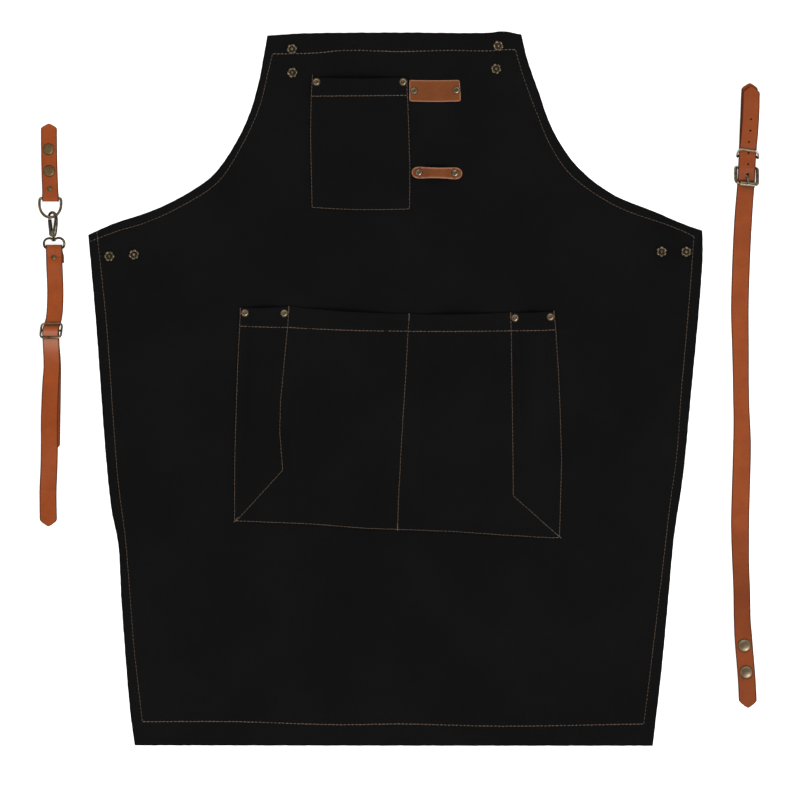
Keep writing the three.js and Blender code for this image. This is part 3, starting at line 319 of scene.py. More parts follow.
class Paint:
    """The nodes of a material or world, with functions that add and link them."""

    def __init__(self, owner, shader="Principled BSDF"):
        owner.use_nodes = True
        self.owner = owner
        self.tree = owner.node_tree
        self.shader = self.tree.nodes[shader]
        self.places = self.node("TexCoord").outputs

    def fill(self, node, inputs):
        """Sets or links a node's inputs by name."""
        for key, value in inputs.items():
            socket = node.inputs[key if isinstance(key, int) else key.replace("_", " ")]
            if isinstance(value, bpy.types.NodeSocket):
                self.tree.links.new(value, socket)
            else:
                socket.default_value = value

    def node(self, kind, **inputs):
        node = self.tree.nodes.new("ShaderNode" + kind)
        self.fill(node, inputs)
        return node

    def noise(self, scale, detail, roughness=0.5, vector=None):
        where = self.places["Object"] if vector is None else vector
        node = self.node("TexNoise", Vector=where, Scale=scale, Detail=detail, Roughness=roughness)
        return node.outputs["Fac"]

    def ramp(self, source, low, high):
        """A colour or grey that goes from low to high; each is a position and a colour."""
        node = self.node("ValToRGB", Fac=source)
        for element, (position, colour) in zip(node.color_ramp.elements, (low, high)):
            element.position = position
            element.color = rgba(colour)
        return node.outputs["Color"]

    def mix(self, blend, factor, first, second):
        node = self.node("Mix")
        node.data_type = "RGBA"
        node.blend_type = blend
        self.fill(node, {0: factor, 6: first, 7: second})
        return node.outputs[2]

    def bump(self, height, strength, distance, **before):
        node = self.node("Bump", Height=height, Strength=strength, Distance=distance, **before)
        return node.outputs["Normal"]

    def mark(self, name):
        node = self.node("Attribute")
        node.attribute_name = name
        return node.outputs["Fac"]

    def finish(self, **inputs):
        self.fill(self.shader, inputs)
        return self.owner


def cloth_material():
    """Black canvas: two crossing yarns, faded a little in patches."""
    paint = Paint(bpy.data.materials.new("black_canvas"))
    flat = paint.node("Mapping", Vector=paint.places["Object"], Scale=(1, 1, 0)).outputs["Vector"]
    yarns = []
    for direction in "XY":
        wave = paint.node("TexWave", Vector=flat, Scale=420, Distortion=0.6, Detail=1, Detail_Scale=2)
        wave.bands_direction = direction
        yarns.append(wave.outputs["Fac"])
    checks = paint.node("TexChecker", Vector=flat, Scale=1337).outputs["Fac"]
    weave = paint.mix("MIX", checks, *yarns)
    slub = paint.noise(700, 3)
    patches = paint.ramp(
        paint.noise(9, 4, 0.55), (0.3, (0.0043, 0.0043, 0.0044)), (0.7, (0.0061, 0.006, 0.006)))
    threads = paint.ramp(weave, (0.1, 0.6), (0.9, 1.15))
    colour = paint.mix("MULTIPLY", 1.0, patches, threads)
    fuzz = paint.ramp(slub, (0.35, 0.8), (0.75, 1.25))
    colour = paint.mix("MULTIPLY", 0.8, colour, fuzz)
    # The rim mark darkens the rounded cut edge: painted shade.
    colour = paint.mix("MULTIPLY", paint.mark("rim"), colour, rgba(0.25))
    normal = paint.bump(weave, 0.5, 0.00025)
    normal = paint.bump(slub, 0.25, 0.0003, Normal=normal)
    return paint.finish(Base_Color=colour, Normal=normal, Roughness=0.9, Specular_IOR_Level=0.04)


def leather_material(name, dark, light, edge):
    """Oiled leather: cloudy colour, fine grain, an edge colour (burnished dark on the straps, a painted
    highlight on the patch's bevel), darker tone and painted shade, and painted sheen.
    """
    paint = Paint(bpy.data.materials.new(name))
    cloud = paint.noise(38, 6, 0.6)
    creases = paint.noise(460, 4, 0.7)
    cells = paint.node("TexVoronoi", Vector=paint.places["Object"], Scale=1300)
    cells.feature = "DISTANCE_TO_EDGE"
    grain = cells.outputs["Distance"]
    on_edge = paint.mark("edge")
    colour = paint.ramp(cloud, (0.3, dark), (0.7, light))
    mottle = paint.ramp(creases, (0.3, 0.9), (0.7, 1.08))
    colour = paint.mix("MULTIPLY", 1.0, colour, mottle)
    pits = paint.ramp(grain, (0.0, 0.75), (0.16, 1.0))
    colour = paint.mix("MULTIPLY", 0.5, colour, pits)
    # Darker tone along a strap, and painted shade: under folds, under the strap above, in a crease and on a
    # slope.
    colour = paint.mix("MULTIPLY", paint.mark("tone_and_shade"), colour, rgba(TONE_AND_SHADE_TINT))
    # Painted sheen where the waist strap bends at the slider, and a slight tint on the neck strap.
    colour = paint.mix("MIX", paint.mark("sheen_and_tint"), colour, rgba(SHEEN_TINT))
    # Edge colour: burnished dark on the straps, a painted highlight on the patch leather.
    burnish_and_highlight = paint.mix("MULTIPLY", 1.0, on_edge, paint.ramp(cloud, (0.2, 0.8), (0.8, 1.0)))
    colour = paint.mix("MIX", burnish_and_highlight, colour, rgba(edge))
    shine = paint.ramp(creases, (0.25, 0.34), (0.75, 0.48))
    shine = paint.mix("MIX", on_edge, shine, rgba(1))
    normal = paint.bump(grain, 0.2, 0.0004)
    normal = paint.bump(creases, 0.22, 0.0004, Normal=normal)
    return paint.finish(Base_Color=colour, Roughness=shine, Normal=normal, Specular_IOR_Level=0.11)


def metal_material(name, dark, light, smooth, rough, patina_and_shade=BLACK_PATINA_AND_SHADE):
    """Antique metal: patina rubbed bright in places, fine scratches, and a dark mark that is patina in its
    recesses, painted shade on sides, rims and low parts, and painted reflection on the roller.
    """
    paint = Paint(bpy.data.materials.new(name))
    patina = paint.noise(230, 6, 0.65)
    stretched = paint.node(
        "Mapping", Vector=paint.places["Object"], Scale=(1, 0.12, 1), Rotation=(0.3, 0.2, 0.6))
    scratches = paint.noise(2600, 2, vector=stretched.outputs["Vector"])
    dark_mark = paint.mark("patina_and_shade")
    colour = paint.ramp(patina, (0.36, dark), (0.64, light))
    normal = paint.bump(scratches, 0.12, 0.0001)
    return paint.finish(
        Base_Color=paint.mix("MIX", dark_mark, colour, rgba(patina_and_shade)),
        Normal=paint.bump(patina, 0.1, 0.0002, Normal=normal),
        Roughness=paint.ramp(patina, (0.3, rough), (0.7, smooth)),
        Metallic=paint.ramp(dark_mark, (0.2, 1), (0.9, 0)), Specular_IOR_Level=0.1)


def thread_material():
    """Waxed brown thread with a twist."""
    paint = Paint(bpy.data.materials.new("thread"))
    twist = paint.node("TexWave", Vector=paint.places["Object"], Scale=620, Distortion=1.5)
    twist.bands_direction = "DIAGONAL"
    dye = paint.ramp(paint.noise(120, 4), (0.3, (0.094, 0.065, 0.046)), (0.7, (0.142, 0.095, 0.067)))
    normal = paint.bump(twist.outputs["Fac"], 0.5, 0.0002)
    return paint.finish(Base_Color=dye, Normal=normal, Roughness=0.75, Specular_IOR_Level=0.15)


CANVAS = cloth_material()
THREAD = thread_material()
STRAP_LEATHER = leather_material(
    "strap_leather", (0.235, 0.0468, 0.0088), (0.295, 0.0612, 0.0122), (0.04, 0.011, 0.0045))
# Its lighter edge colour is a painted highlight on the bevelled edge.
PATCH_LEATHER = leather_material(
    "patch_leather", (0.139, 0.039, 0.0102), (0.175, 0.0508, 0.0138), (0.3, 0.14, 0.085))
OLD_BRASS = metal_material("antique_brass", (0.04, 0.031, 0.019), (0.24, 0.19, 0.115), 0.16, 0.34)
DARK_BRASS = metal_material("dark_brass", (0.016, 0.013, 0.009), (0.11, 0.088, 0.056), 0.18, 0.36)
# Painted highlight: a brighter copy of the brass for the buckle's roller and the keeper.
LIT_BRASS = metal_material("lit_brass", (0.27, 0.225, 0.15), (0.4, 0.34, 0.24), 0.16, 0.26)
# Painted shade: a darker copy of the brass for the hook's gate, which lies in shade.
SHADED_GATE_BRASS = metal_material("shaded_gate_brass", (0.01, 0.008, 0.006), (0.05, 0.041, 0.03), 0.2, 0.36)
STUD_BRASS = metal_material("stud_brass", (0.06, 0.045, 0.026), (0.195, 0.155, 0.1), 0.24, 0.4)
FLAT_BRASS = metal_material("matt_brass", (0.1, 0.066, 0.029), (0.18, 0.118, 0.054), 0.42, 0.56)
DOME_BRASS = metal_material("polished_brass", (0.155, 0.11, 0.06), (0.235, 0.18, 0.118), 0.32, 0.42)
RIVET_BRASS = metal_material(
    "copper_brass", (0.1, 0.07, 0.038), (0.31, 0.24, 0.16), 0.2, 0.36, COPPER_PATINA_AND_SHADE)


# Apron panel: outlines as in the CAD, then the stitch lines of its hems.

TOP_EDGE = [[-150, 402], [-110, 404.5], [0, 405.5], [100, 405.2], [119, 406.8], [139, 403.3]]
RIGHT_EDGE = [
    [289, -407], [299, -321], [307.5, -231], [313.5, -167], [323.5, -100], [332, -13], [342.5, 100],
    [346, 155], [345.5, 180],
]
RIGHT_ARMHOLE = [
    [345.5, 180], [330, 185], [292, 201], [242, 222], [202, 254], [175, 295], [158, 341],
    [146.5, 373], [139, 403.3],
]
LEFT_EDGE = [
    [-301, -406.5], [-306, -370], [-316, -245], [-320, -176], [-327, -141], [-333, -88],
    [-345.5, 79], [-354, 175],
]
LEFT_ARMHOLE = [
    [-354, 175], [-327, 187], [-280, 203], [-245, 220], [-213, 242], [-193, 268], [-173, 306],
    [-161, 344], [-150, 402],
]
BOTTOM_EDGE = [[-301, -406.5], [-100, -406.8], [100, -407], [289, -407]]
HEM_TOP = [
    [-144.2, 381], [-94.5, 382.1], [-62.6, 385], [1, 383.8], [59, 385], [100, 384.4],
    [120.3, 385.9], [132.5, 385.9],
]
HEM_RIGHT_ARMHOLE = [
    [132.5, 385.9], [140.6, 358.2], [156.5, 314.3], [174.3, 273.3], [197.9, 241.2], [247.6, 207.6],
    [308.4, 185.3], [328.8, 176.7], [335.9, 172.8],
]
HEM_RIGHT = [
    [335.9, 173.7], [332.2, 123], [327, 59], [321.2, -7], [316.6, -72], [308, -137], [300.5, -202],
    [292.6, -268], [278.8, -382],
]
HEM_BOTTOM = [
    [278.8, -382], [117.3, -384.5], [1, -382], [-68.3, -382.9], [-192.5, -379.3], [-292.3, -379.5],
]
HEM_LEFT = [
    [-292.3, -379.5], [-297.9, -331], [-301.9, -294.4], [-311.6, -172], [-319.7, -108], [-324.9, -44],
    [-329.2, 20], [-334.2, 84], [-342.5, 163.4], [-344.3, 179],
]
HEM_LEFT_ARMHOLE = [
    [-353, 166.8], [-323.7, 178.3], [-289, 188.9], [-251.2, 205.9], [-207.2, 234.4], [-180.7, 273.6],
    [-159.3, 320], [-148.4, 363.7], [-144.2, 381],
]
HEM_LINES = [HEM_TOP, HEM_RIGHT_ARMHOLE, HEM_RIGHT, HEM_BOTTOM, HEM_LEFT, HEM_LEFT_ARMHOLE]

# Soft folds of the spread cloth: both ends, half width and height.
FOLDS = [
    ((20, 203), (245, 212), 7, 0.55),
    ((-235, 170), (-150, 60), 22, 0.7),
    ((-120, 190), (-60, 120), 24, -0.6),
    ((60, 190), (120, 110), 20, 0.6),
    ((180, 180), (270, 100), 26, -0.6),
    ((-318, -108), (-205, -125), 12, 0.8),
    ((-310, -60), (-220, -40), 22, -0.6),
    ((200, -150), (262, -88), 12, 0.8),
    ((215, 0), (318, -35), 16, 0.7),
    ((240, 60), (325, 20), 18, -0.6),
    ((190, -270), (285, -330), 20, 0.8),
    ((150, -215), (230, -300), 30, -0.6),
    ((-250, -230), (-120, -300), 32, 0.6),
    ((-60, -210), (60, -250), 34, -0.5),
    ((-255, 40), (-210, -60), 16, 0.6),
    ((70, 330), (120, 250), 20, 0.5),
]
FASTENERS = {
    "bib_stud_left_1": (-122, 386.5), "bib_stud_left_2": (-121.5, 359.7),
    "bib_stud_right_1": (113, 390), "bib_stud_right_2": (110.5, 364),
    "waist_stud_left_1": (-330, 150.5), "waist_stud_left_2": (-302, 152.5),
    "waist_stud_right_1": (299, 155.7), "waist_stud_right_2": (327, 155.7),
    "bib_rivet_1": (-94, 349), "bib_rivet_2": (4.5, 349),
    "pocket_rivet_1": (-175.5, 86), "pocket_rivet_2": (-130.8, 85.6),
    "pocket_rivet_3": (132, 80.3), "pocket_rivet_4": (172.5, 81.4),
    "patch_rivet_1": (17, 339), "patch_rivet_2": (65.3, 339.6),
    "loop_rivet_1": (22.7, 246), "loop_rivet_2": (63.8, 245.2),
}
# What lies on the panel and keeps it flat: left, right, low and high side; then the radius that a
# fastener keeps flat, and how far away the folds come back.
FLAT_ZONES = [(-102, 14, 202, 357), (-190, 187, -172, 95), (10, 73, 325, 353), (13, 73, 236, 254)]
FLAT_RADIUS, FLAT_BLEND = 6, 12
# Steps in from the panel's edge, close together where the edge is rounded, and rows up the panel,
# with more of them where the armholes start.
EDGE_STEPS = np.array([0, 0.35, 0.8, 1.4, 2.4, 4])
HEM_STEPS = np.linspace(6, 30, 9)
PANEL_ROWS, PANEL_COLUMNS, ROW_MARGIN = 262, 102, 6
SHOULDER_ROWS = np.linspace(172, 190, 14)
# How far down the top edge's shape and how far up the bottom edge's shape fade out.
TOP_FADE, LOW_FADE = 70, 25
# Rounding of the edge, the heights that it ends at, and the underside.
ROUNDING = 1.2
EDGE_TOP, EDGE_LOW = 1.1, 0.9
UNDERSIDE = 0.02
# Painted shade on the rounded cut edge, before it is clipped to 1.
EDGE_SHADE_DARK = 1.4
# Distances from a seam and from the edge within which the hem fills the panel's whole height.
FULL_AT_SEAM, FULL_AT_EDGE = 2.5, 9
# Heights of the folds, ripples, puckers, seam grooves and the ridges beside them, with the reach or
# width of some and the ridges' distance from the seam.
FOLD_LIMITS = (-0.6, 1.4)
BROAD_RIPPLE, FINE_RIPPLE = 0.14, 0.08
PUCKER, PUCKER_REACH = 0.1, 7
GROOVE, GROOVE_WIDTH = 0.22, 1.3
RIDGE, RIDGE_WIDTH, RIDGE_PLACE = 0.16, 3.5, 5


def near_line(points, line):
    """Distance of each point to a line of points, and the length along it."""
    best = np.full(len(points), 1e9)
    along = np.zeros(len(points))
    start = 0.0
    for a, b in zip(line[:-1], line[1:]):
        way = b - a
        length = np.linalg.norm(way)
        t = np.clip((points - a) @ way / length ** 2, 0, 1)
        far = np.linalg.norm(points - a - t[:, None] * way, axis=1)
        closer = far < best
        best[closer] = far[closer]
        along[closer] = start + t[closer] * length
        start += length
    return best, along


def wavy(line):
    """An outline with the scallops of its hem."""
    path = smooth_path(line, 3)
    along = lengths_along(path)
    fade = smoothstep(np.minimum(along, along[-1] - along) / SCALLOP_FADE)
    waves = np.sin(2 * math.pi * along / SCALLOP_PITCH) + 0.7 * np.sin(along / 5.3 + 1)
    ahead = directions(path)
    return path + (SCALLOP * fade * waves)[:, None] * np.column_stack([-ahead[:, 1], ahead[:, 0]])


def calm(points):
    """0 where something lies on the panel, 1 a little away from it."""
    free = np.ones(len(points))
    for left, right, low, high in FLAT_ZONES:
        dx = np.maximum(left - points[:, 0], points[:, 0] - right)
        dy = np.maximum(low - points[:, 1], points[:, 1] - high)
        free *= smoothstep(np.maximum(dx, dy) / FLAT_BLEND)
    for x, y in FASTENERS.values():
        far = np.hypot(points[:, 0] - x, points[:, 1] - y)
        free *= smoothstep((far - FLAT_RADIUS) / FLAT_BLEND)
    return free


def fold_height(points):
    """Folds and ripples of the cloth, flattened under what lies on it."""
    height = np.zeros(len(points))
    for start, end, half, rise in FOLDS:
        far, _ = near_line(points, np.array([start, end], float))
        height += rise * np.exp(-(far / half) ** 2)
    x, y = points[:, 0], points[:, 1]
    height += BROAD_RIPPLE * np.sin(x / 23 + 0.9 * np.sin(y / 41)) * np.sin(y / 31 + 1.3)
    height += FINE_RIPPLE * np.sin(x / 9.5 + y / 13) * np.sin(y / 17 - x / 29)
    return height * calm(points)


def hem_distance(points):
    """Distance to the nearest hem seam, and the puckers that the seams pull into the cloth."""
    nearest = np.full(len(points), 1e9)
    pucker = np.zeros(len(points))
    for line in HEM_LINES:
        far, along = near_line(points, smooth_path(line, 12))
        nearest = np.minimum(nearest, far)
        wave = np.sin(along / 3.1) + 0.6 * np.sin(along / 7.3 + 1)
        pucker += PUCKER * wave * np.exp(-(far / PUCKER_REACH) ** 2)
    return nearest, pucker


def panel_height(points):
    """Height of the panel's top away from its edge: folds, hem grooves and puckers."""
    points = np.asarray(points, float)
    seam, pucker = hem_distance(points)
    groove = RIDGE * np.exp(-((seam - RIDGE_PLACE) / RIDGE_WIDTH) ** 2)
    groove -= GROOVE * np.exp(-(seam / GROOVE_WIDTH) ** 2)
    return PANEL_TOP + np.clip(fold_height(points), *FOLD_LIMITS) + groove + pucker * calm(points)


def panel_shape():
    """The panel's sheet, with rounded edges and turned-in hems, and the mark of the painted shade along its
    rim.
    """
    top, bottom = wavy(TOP_EDGE), wavy(BOTTOM_EDGE)
    left = [wavy(LEFT_EDGE), wavy(LEFT_ARMHOLE)]
    right = [wavy(RIGHT_EDGE), wavy(RIGHT_ARMHOLE)]
    left_side, right_side = np.concatenate(left), np.concatenate(right)
    low, high = BOTTOM_EDGE[0][1], TOP_EDGE[0][1]
    middle = np.linspace(low + ROW_MARGIN, high - ROW_MARGIN, PANEL_ROWS)
    rows = np.unique(np.concatenate([low + EDGE_STEPS, middle, SHOULDER_ROWS, high - EDGE_STEPS]))
    steps = np.concatenate([EDGE_STEPS, HEM_STEPS])
    share = np.linspace(0, 1, PANEL_COLUMNS)[1:-1]
    grid = []
    for y in rows:
        x0 = np.interp(y, left_side[:, 1], left_side[:, 0])
        x1 = np.interp(y, right_side[:, 1], right_side[:, 0])
        span = x1 - x0 - 2 * steps[-1]
        xs = np.concatenate([x0 + steps, x0 + steps[-1] + share * span, (x1 - steps)[::-1]])
        lift = np.interp(xs, top[:, 0], top[:, 1]) - high
        lift *= smoothstep((y - high + TOP_FADE) / TOP_FADE)
        drop = np.interp(xs, bottom[:, 0], bottom[:, 1]) - low
        drop *= smoothstep((low + LOW_FADE - y) / LOW_FADE)
        grid.append(np.column_stack([xs, y + lift + drop]))
    flat = np.array(grid).transpose(1, 0, 2)
    points = flat.reshape(-1, 2)
    edge = np.min([near_line(points, line)[0] for line in left + right + [top, bottom]], axis=0)
    inside = np.clip(edge / ROUNDING, 0, 1)
    round_edge = np.sqrt(1 - (1 - inside) ** 2)
    upper = panel_height(points)
    turned_in = (hem_distance(points)[0] < FULL_AT_SEAM) | (edge < FULL_AT_EDGE)
    under = np.where(turned_in, UNDERSIDE, np.maximum(upper - CLOTH, UNDERSIDE))
    top_z = EDGE_TOP + (upper - EDGE_TOP) * round_edge
    low_z = EDGE_LOW + (under - EDGE_LOW) * round_edge
    one_each = flat.shape[:2] + (1,)
    upper_side, lower_side = (np.concatenate([flat, z.reshape(one_each)], 2) for z in (top_z, low_z))
    # Painted shade along the rounded edge, strongest at the very edge.
    rim = np.clip(EDGE_SHADE_DARK - edge / ROUNDING, 0, 1)
    return solid_sheet(upper_side, lower_side), {"rim": np.concatenate([rim, rim])}


panel_sheet, panel_marks = panel_shape()
panel = add_piece("apron_cloth", panel_sheet, CANVAS, "cloth", ["apron_panel"], marks=panel_marks,
                  sharp_deg=60)


# Pockets: seams from the mouth to the bottom, the hem row and the rise between seams.

BIB_SEAMS = np.array([
    [[-98.5, 354], [-99.5, 341], [-100, 332.9], [-100.7, 290], [-100, 250], [-99.3, 222], [-99, 206.2]],
    [[9, 354], [9, 341], [9.6, 333.9], [11.2, 290], [12.3, 250], [12.1, 222], [11.8, 204.5]],
])
BIB_RISE = [[5, 5.4, 6, 6.4, 5.8, 3.6, 0]]
# Sag between the seams at the mouth and at the hem row, for each compartment.
BIB_SAG = [(1.5, 0.3)]
LOWER_SAG = [(1.3, 0.5), (2, 1.1), (1.5, 0.5), (1.3, 0.3)]
LOWER_SEAMS = np.array([
    [[-180.5, 92], [-180.9, 80], [-181.5, 71.2], [-183.6, 30], [-185.5, -25], [-187.2, -85], [-187.3, -148],
     [-187, -150.6]],
    [[-125.5, 93.3], [-126.2, 79.8], [-126.9, 69.6], [-131.2, 25], [-135, -15], [-135.8, -50], [-132.4, -93],
     [-140, -152.6]],
    [[11.6, 84.6], [11, 75], [10.2, 65.2], [8, 20], [5, -25], [2.3, -70], [-0.3, -120], [-1.8, -160.6]],
    [[127, 86.2], [127.5, 75.5], [127.8, 65.8], [128.3, 20], [129, -25], [129.7, -75], [130.1, -122],
     [140, -168]],
    [[176.2, 88], [177.5, 76.5], [178.4, 66.7], [181.5, 20], [183.4, -25], [185.2, -85], [182.7, -166],
     [182.4, -169.8]],
])
NARROW_RISE = [3.8, 4.2, 4.8, 5.2, 4.6, 2.4, 0, 0]
WIDE_RISE = [4.6, 5, 5.8, 6.4, 6.4, 6, 4, 0]
LOWER_RISE = [NARROW_RISE, WIDE_RISE, WIDE_RISE, NARROW_RISE]
HEM_ROW = 2
ALLOWANCE = 1.4
POCKET_RIPPLE = 0.16
# Steps past the outer seams as shares of the allowance, and how thin the cloth gets there.
OUT_STEPS = (0.3, 0.8, 1.0)
OUT_THIN = 0.75
# Gap under the cloth, and the rounded fold at the mouth as shares of its thickness.
UNDER_GAP = 0.05
FOLD_TOP, FOLD_LOW = 0.85, 0.18
SEAM_POINTS, ROW_POINTS = 60, 40


class Pocket:
    """A pocket's cloth by compartment, share across it and row down from the mouth."""

    def __init__(self, seams, rises, sags, margin, bow=0.0):
        self.seams = seams
        self.rises = np.asarray(rises, float)
        self.sags = sags
        self.margin = margin
        self.bow = bow
        self.last = seams.shape[1] - 1

    def at(self, part, share, row):
        first = int(min(math.floor(row), self.last - 1))
        t = row - first
        ends = (1 - t) * self.seams[:, first] + t * self.seams[:, first + 1]
        x, y = (1 - share) * ends[part] + share * ends[part + 1]
        sag = np.interp(row, (0, HEM_ROW, HEM_ROW + 2), (*self.sags[part], 0))
        y -= (sag + self.bow * (row / self.last) ** 4) * math.sin(math.pi * share)
        rise = (1 - t) * self.rises[part][first] + t * self.rises[part][first + 1]
        spread = (share - self.margin) / (1 - 2 * self.margin)
        swell = math.sin(math.pi * spread) ** 0.8 if 0 < spread < 1 else 0.0
        ripple = POCKET_RIPPLE * math.sin(x / 6.1 + y / 23) * math.sin(y / 14 + part) * min(1, swell * 3)
        wall = CLOTH + (POCKET_HEM - CLOTH) * float(smoothstep((HEM_ROW + 0.04 - row) / 0.06))
        return x, y, POCKET_BASE + rise * swell + ripple, wall

    def top(self, part, share, row):
        x, y, z, wall = self.at(part, share, row)
        return x, y, z + wall

    def shape(self, columns, row_steps):
        """The cloth with its seam allowance; steps past the seams are shares of that."""
        count = len(self.seams) - 1
        across = [(0, 0.0, -out) for out in OUT_STEPS[::-1]]
        for part in range(count):
            across += [(part, s, 0.0) for s in np.linspace(0, 1, columns + 1)[(1 if part else 0):]]
        across += [(count - 1, 1.0, out) for out in OUT_STEPS]
        rows = [(0.0, -OUT_STEPS[0]), (0.0, 0.0)]
        rows += [(r, 0.0) for r in np.linspace(0, HEM_ROW, 12)[1:]]
        rows += [(HEM_ROW + 0.05, 0.0)]
        rows += [(r, 0.0) for r in np.linspace(HEM_ROW, self.last, row_steps)[1:]]
        rows += [(float(self.last), down) for down in OUT_STEPS]
        top = np.zeros((len(across), len(rows), 3))
        bottom = np.zeros_like(top)
        for i, (part, share, out) in enumerate(across):
            for j, (row, down) in enumerate(rows):
                x, y, z, wall = self.at(part, share, row)
                x += out * ALLOWANCE
                y -= down * ALLOWANCE
                if down < 0:
                    top[i, j] = x, y, z + FOLD_TOP * wall
                    bottom[i, j] = x, y, z + 2 * UNDER_GAP + FOLD_LOW * wall
                else:
                    rim = max(0, max(abs(out), down) - OUT_STEPS[0]) / (1 - OUT_STEPS[0])
                    top[i, j] = x, y, z + wall * (1 - OUT_THIN * rim)
                    bottom[i, j] = x, y, z + UNDER_GAP + UNDER_GAP * rim
        return solid_sheet(top[:, ::-1], bottom[:, ::-1])

    def seam(self, number, first, last):
        """Points down one seam, on top of the cloth."""
        part = min(number, len(self.seams) - 2)
        share = float(number - part)
        return [self.top(part, share, row) for row in np.linspace(first, last, SEAM_POINTS)]

    def across(self, row):
        """Points across all compartments, on top of the cloth."""
        parts = len(self.seams) - 1
        shares = np.linspace(0, 1, ROW_POINTS)
        return [self.top(part, share, row)
                for part in range(parts) for share in shares[(1 if part else 0):]]


bib = Pocket(BIB_SEAMS, BIB_RISE, BIB_SAG, margin=0.09, bow=1.6)
lower = Pocket(LOWER_SEAMS, LOWER_RISE, LOWER_SAG, margin=0.18)
bib_cloth = add_piece("bib_pocket_cloth", bib.shape(columns=40, row_steps=50), CANVAS, "cloth",
                      ["bib_pocket"], sharp_deg=60)
lower_cloth = add_piece("lower_pocket_cloth", lower.shape(columns=30, row_steps=70), CANVAS, "cloth",
                        ["lower_pocket"], sharp_deg=60)


# Stitches: short arched capsules of thread that sink into the cloth at both ends.

def stitch(at, way, length, width, height=STITCH_HEIGHT):
    side = np.array([-way[1], way[0], 0])
    rings = []
    for t in (-1, -0.8, -0.35, 0.35, 0.8, 1):
        fat = math.sqrt(max(0.05, 1 - abs(t) ** 3))
        middle = at + way * (t * length / 2)
        ring = []
        for angle in np.linspace(0, math.pi, 6):
            rise = height * fat * math.sin(angle) - STITCH_SINK * t * t
            ring.append(middle + side * (width * fat * math.cos(angle)) + np.array([0, 0, rise]))
        rings.append(ring)
    return loft(rings)


def stitch_line(points, width=SEAM_THREAD):
    """Stitches along points in space, evenly spread, with a slight slant."""
    points = np.asarray(points, float)
    along = lengths_along(points)
    count = max(1, round(along[-1] / STITCH_PITCH))

    def on_line(s):
        return np.array([np.interp(s, along, points[:, i]) for i in range(3)])

    shapes = []
    for k in range(count):
        s = (k + 0.5) / count * along[-1]
        way = on_line(s + 1.5) - on_line(s - 1.5)
        way /= np.linalg.norm(way)
        slant = SLANT + rng.uniform(-SLANT_SPREAD, SLANT_SPREAD)
        way = np.array([way[0] - slant * way[1], way[1] + slant * way[0], way[2]])
        at = on_line(s) + (rng.uniform(-STRAY, STRAY), rng.uniform(-STRAY, STRAY), 0)
        shapes.append(stitch(at, way, STITCH_LENGTH * rng.uniform(0.93, 1.05), width))
    return several(shapes)


def bartack(x, y, z, angle=math.pi / 2):
    """A short dense row of stitches that ends a seam."""
    along = np.array([math.cos(angle), math.sin(angle), 0])
    across = np.array([-along[1], along[0], 0])
    rows = []
    for k in range(TACK_COUNT):
        at = np.array([x, y, z]) + along * (k - (TACK_COUNT - 1) / 2) * TACK_PITCH
        rows.append(stitch(at, across, TACK_WIDTH * rng.uniform(0.85, 1.1), TACK_THREAD, TACK_HEIGHT))
    return several(rows)


def on_panel(line):
    flat = smooth_path(line, 4)
    return np.column_stack([flat, panel_height(flat)])


def on_seam_allowance(*points):
    return [(x, y, FLOOR_Z) for x, y in points]


add_piece("hem_stitches", several([
    *[stitch_line(on_panel(line), HEM_THREAD) for line in (HEM_TOP, HEM_BOTTOM)],
    *[stitch_line(on_panel(line), SIDE_THREAD)
      for line in (HEM_RIGHT_ARMHOLE, HEM_RIGHT, HEM_LEFT, HEM_LEFT_ARMHOLE)],
]), THREAD)
add_piece("bib_pocket_stitches", several([
    stitch_line(bib.seam(0, 0, bib.last)),
    stitch_line(bib.seam(1, 0.2, bib.last)),
    stitch_line(bib.across(HEM_ROW), ROW_THREAD),
    stitch_line(bib.across(bib.last)),
    stitch_line([(-98.5, 353, MOUTH_Z + 0.1), (-98.4, 355.6, 3.4), (-98.2, 358.6, PANEL_TOP + 0.1)]),
]), THREAD)
# Last row that each seam of the lower pocket is stitched to, its bottom seam and its bartacks.
LOWER_SEAM_ENDS = [6.9, 6, 7, 6, 6.9]
LOWER_BOTTOM = [
    (-186.5, -150.6), (-104, -153.9), (-39, -159), (60, -162.6), (126, -167.2), (175, -170.1),
    (182.6, -169.6),
]
BARTACKS = [
    (-185.8, -149.5, FLOOR_Z, 0.8), (182, -168, FLOOR_Z, 2.4), (-1.7, -158.3, FLOOR_Z),
    (-180.7, 88.2, MOUTH_Z), (-125.6, 90.2, MOUTH_Z), (11.5, 81.8, MOUTH_Z), (127.1, 83.2, MOUTH_Z),
    (176.4, 85, MOUTH_Z),
]
add_piece("lower_pocket_stitches", several([
    *[stitch_line(lower.seam(number, 0, last)) for number, last in enumerate(LOWER_SEAM_ENDS)],
    stitch_line(lower.across(HEM_ROW), ROW_THREAD),
    stitch_line(on_seam_allowance((-132.4, -93), (-186.2, -151.8))),
    stitch_line(on_seam_allowance((130, -122), (182.8, -169))),
    stitch_line(on_seam_allowance(*LOWER_BOTTOM)),
    *[bartack(*row) for row in BARTACKS],
]), THREAD)


# Leather patch and towel loop: grids with rounded corners and pressed edges.

# Pressed line inside a plate's edge, and the widths of the painted highlight along its edge at the sides and
# the ends.
EDGE_PRESS, PRESS_INSET = 0.12, 2.0
HIGHLIGHT_SIDE, HIGHLIGHT_END = 0.8, 0.9


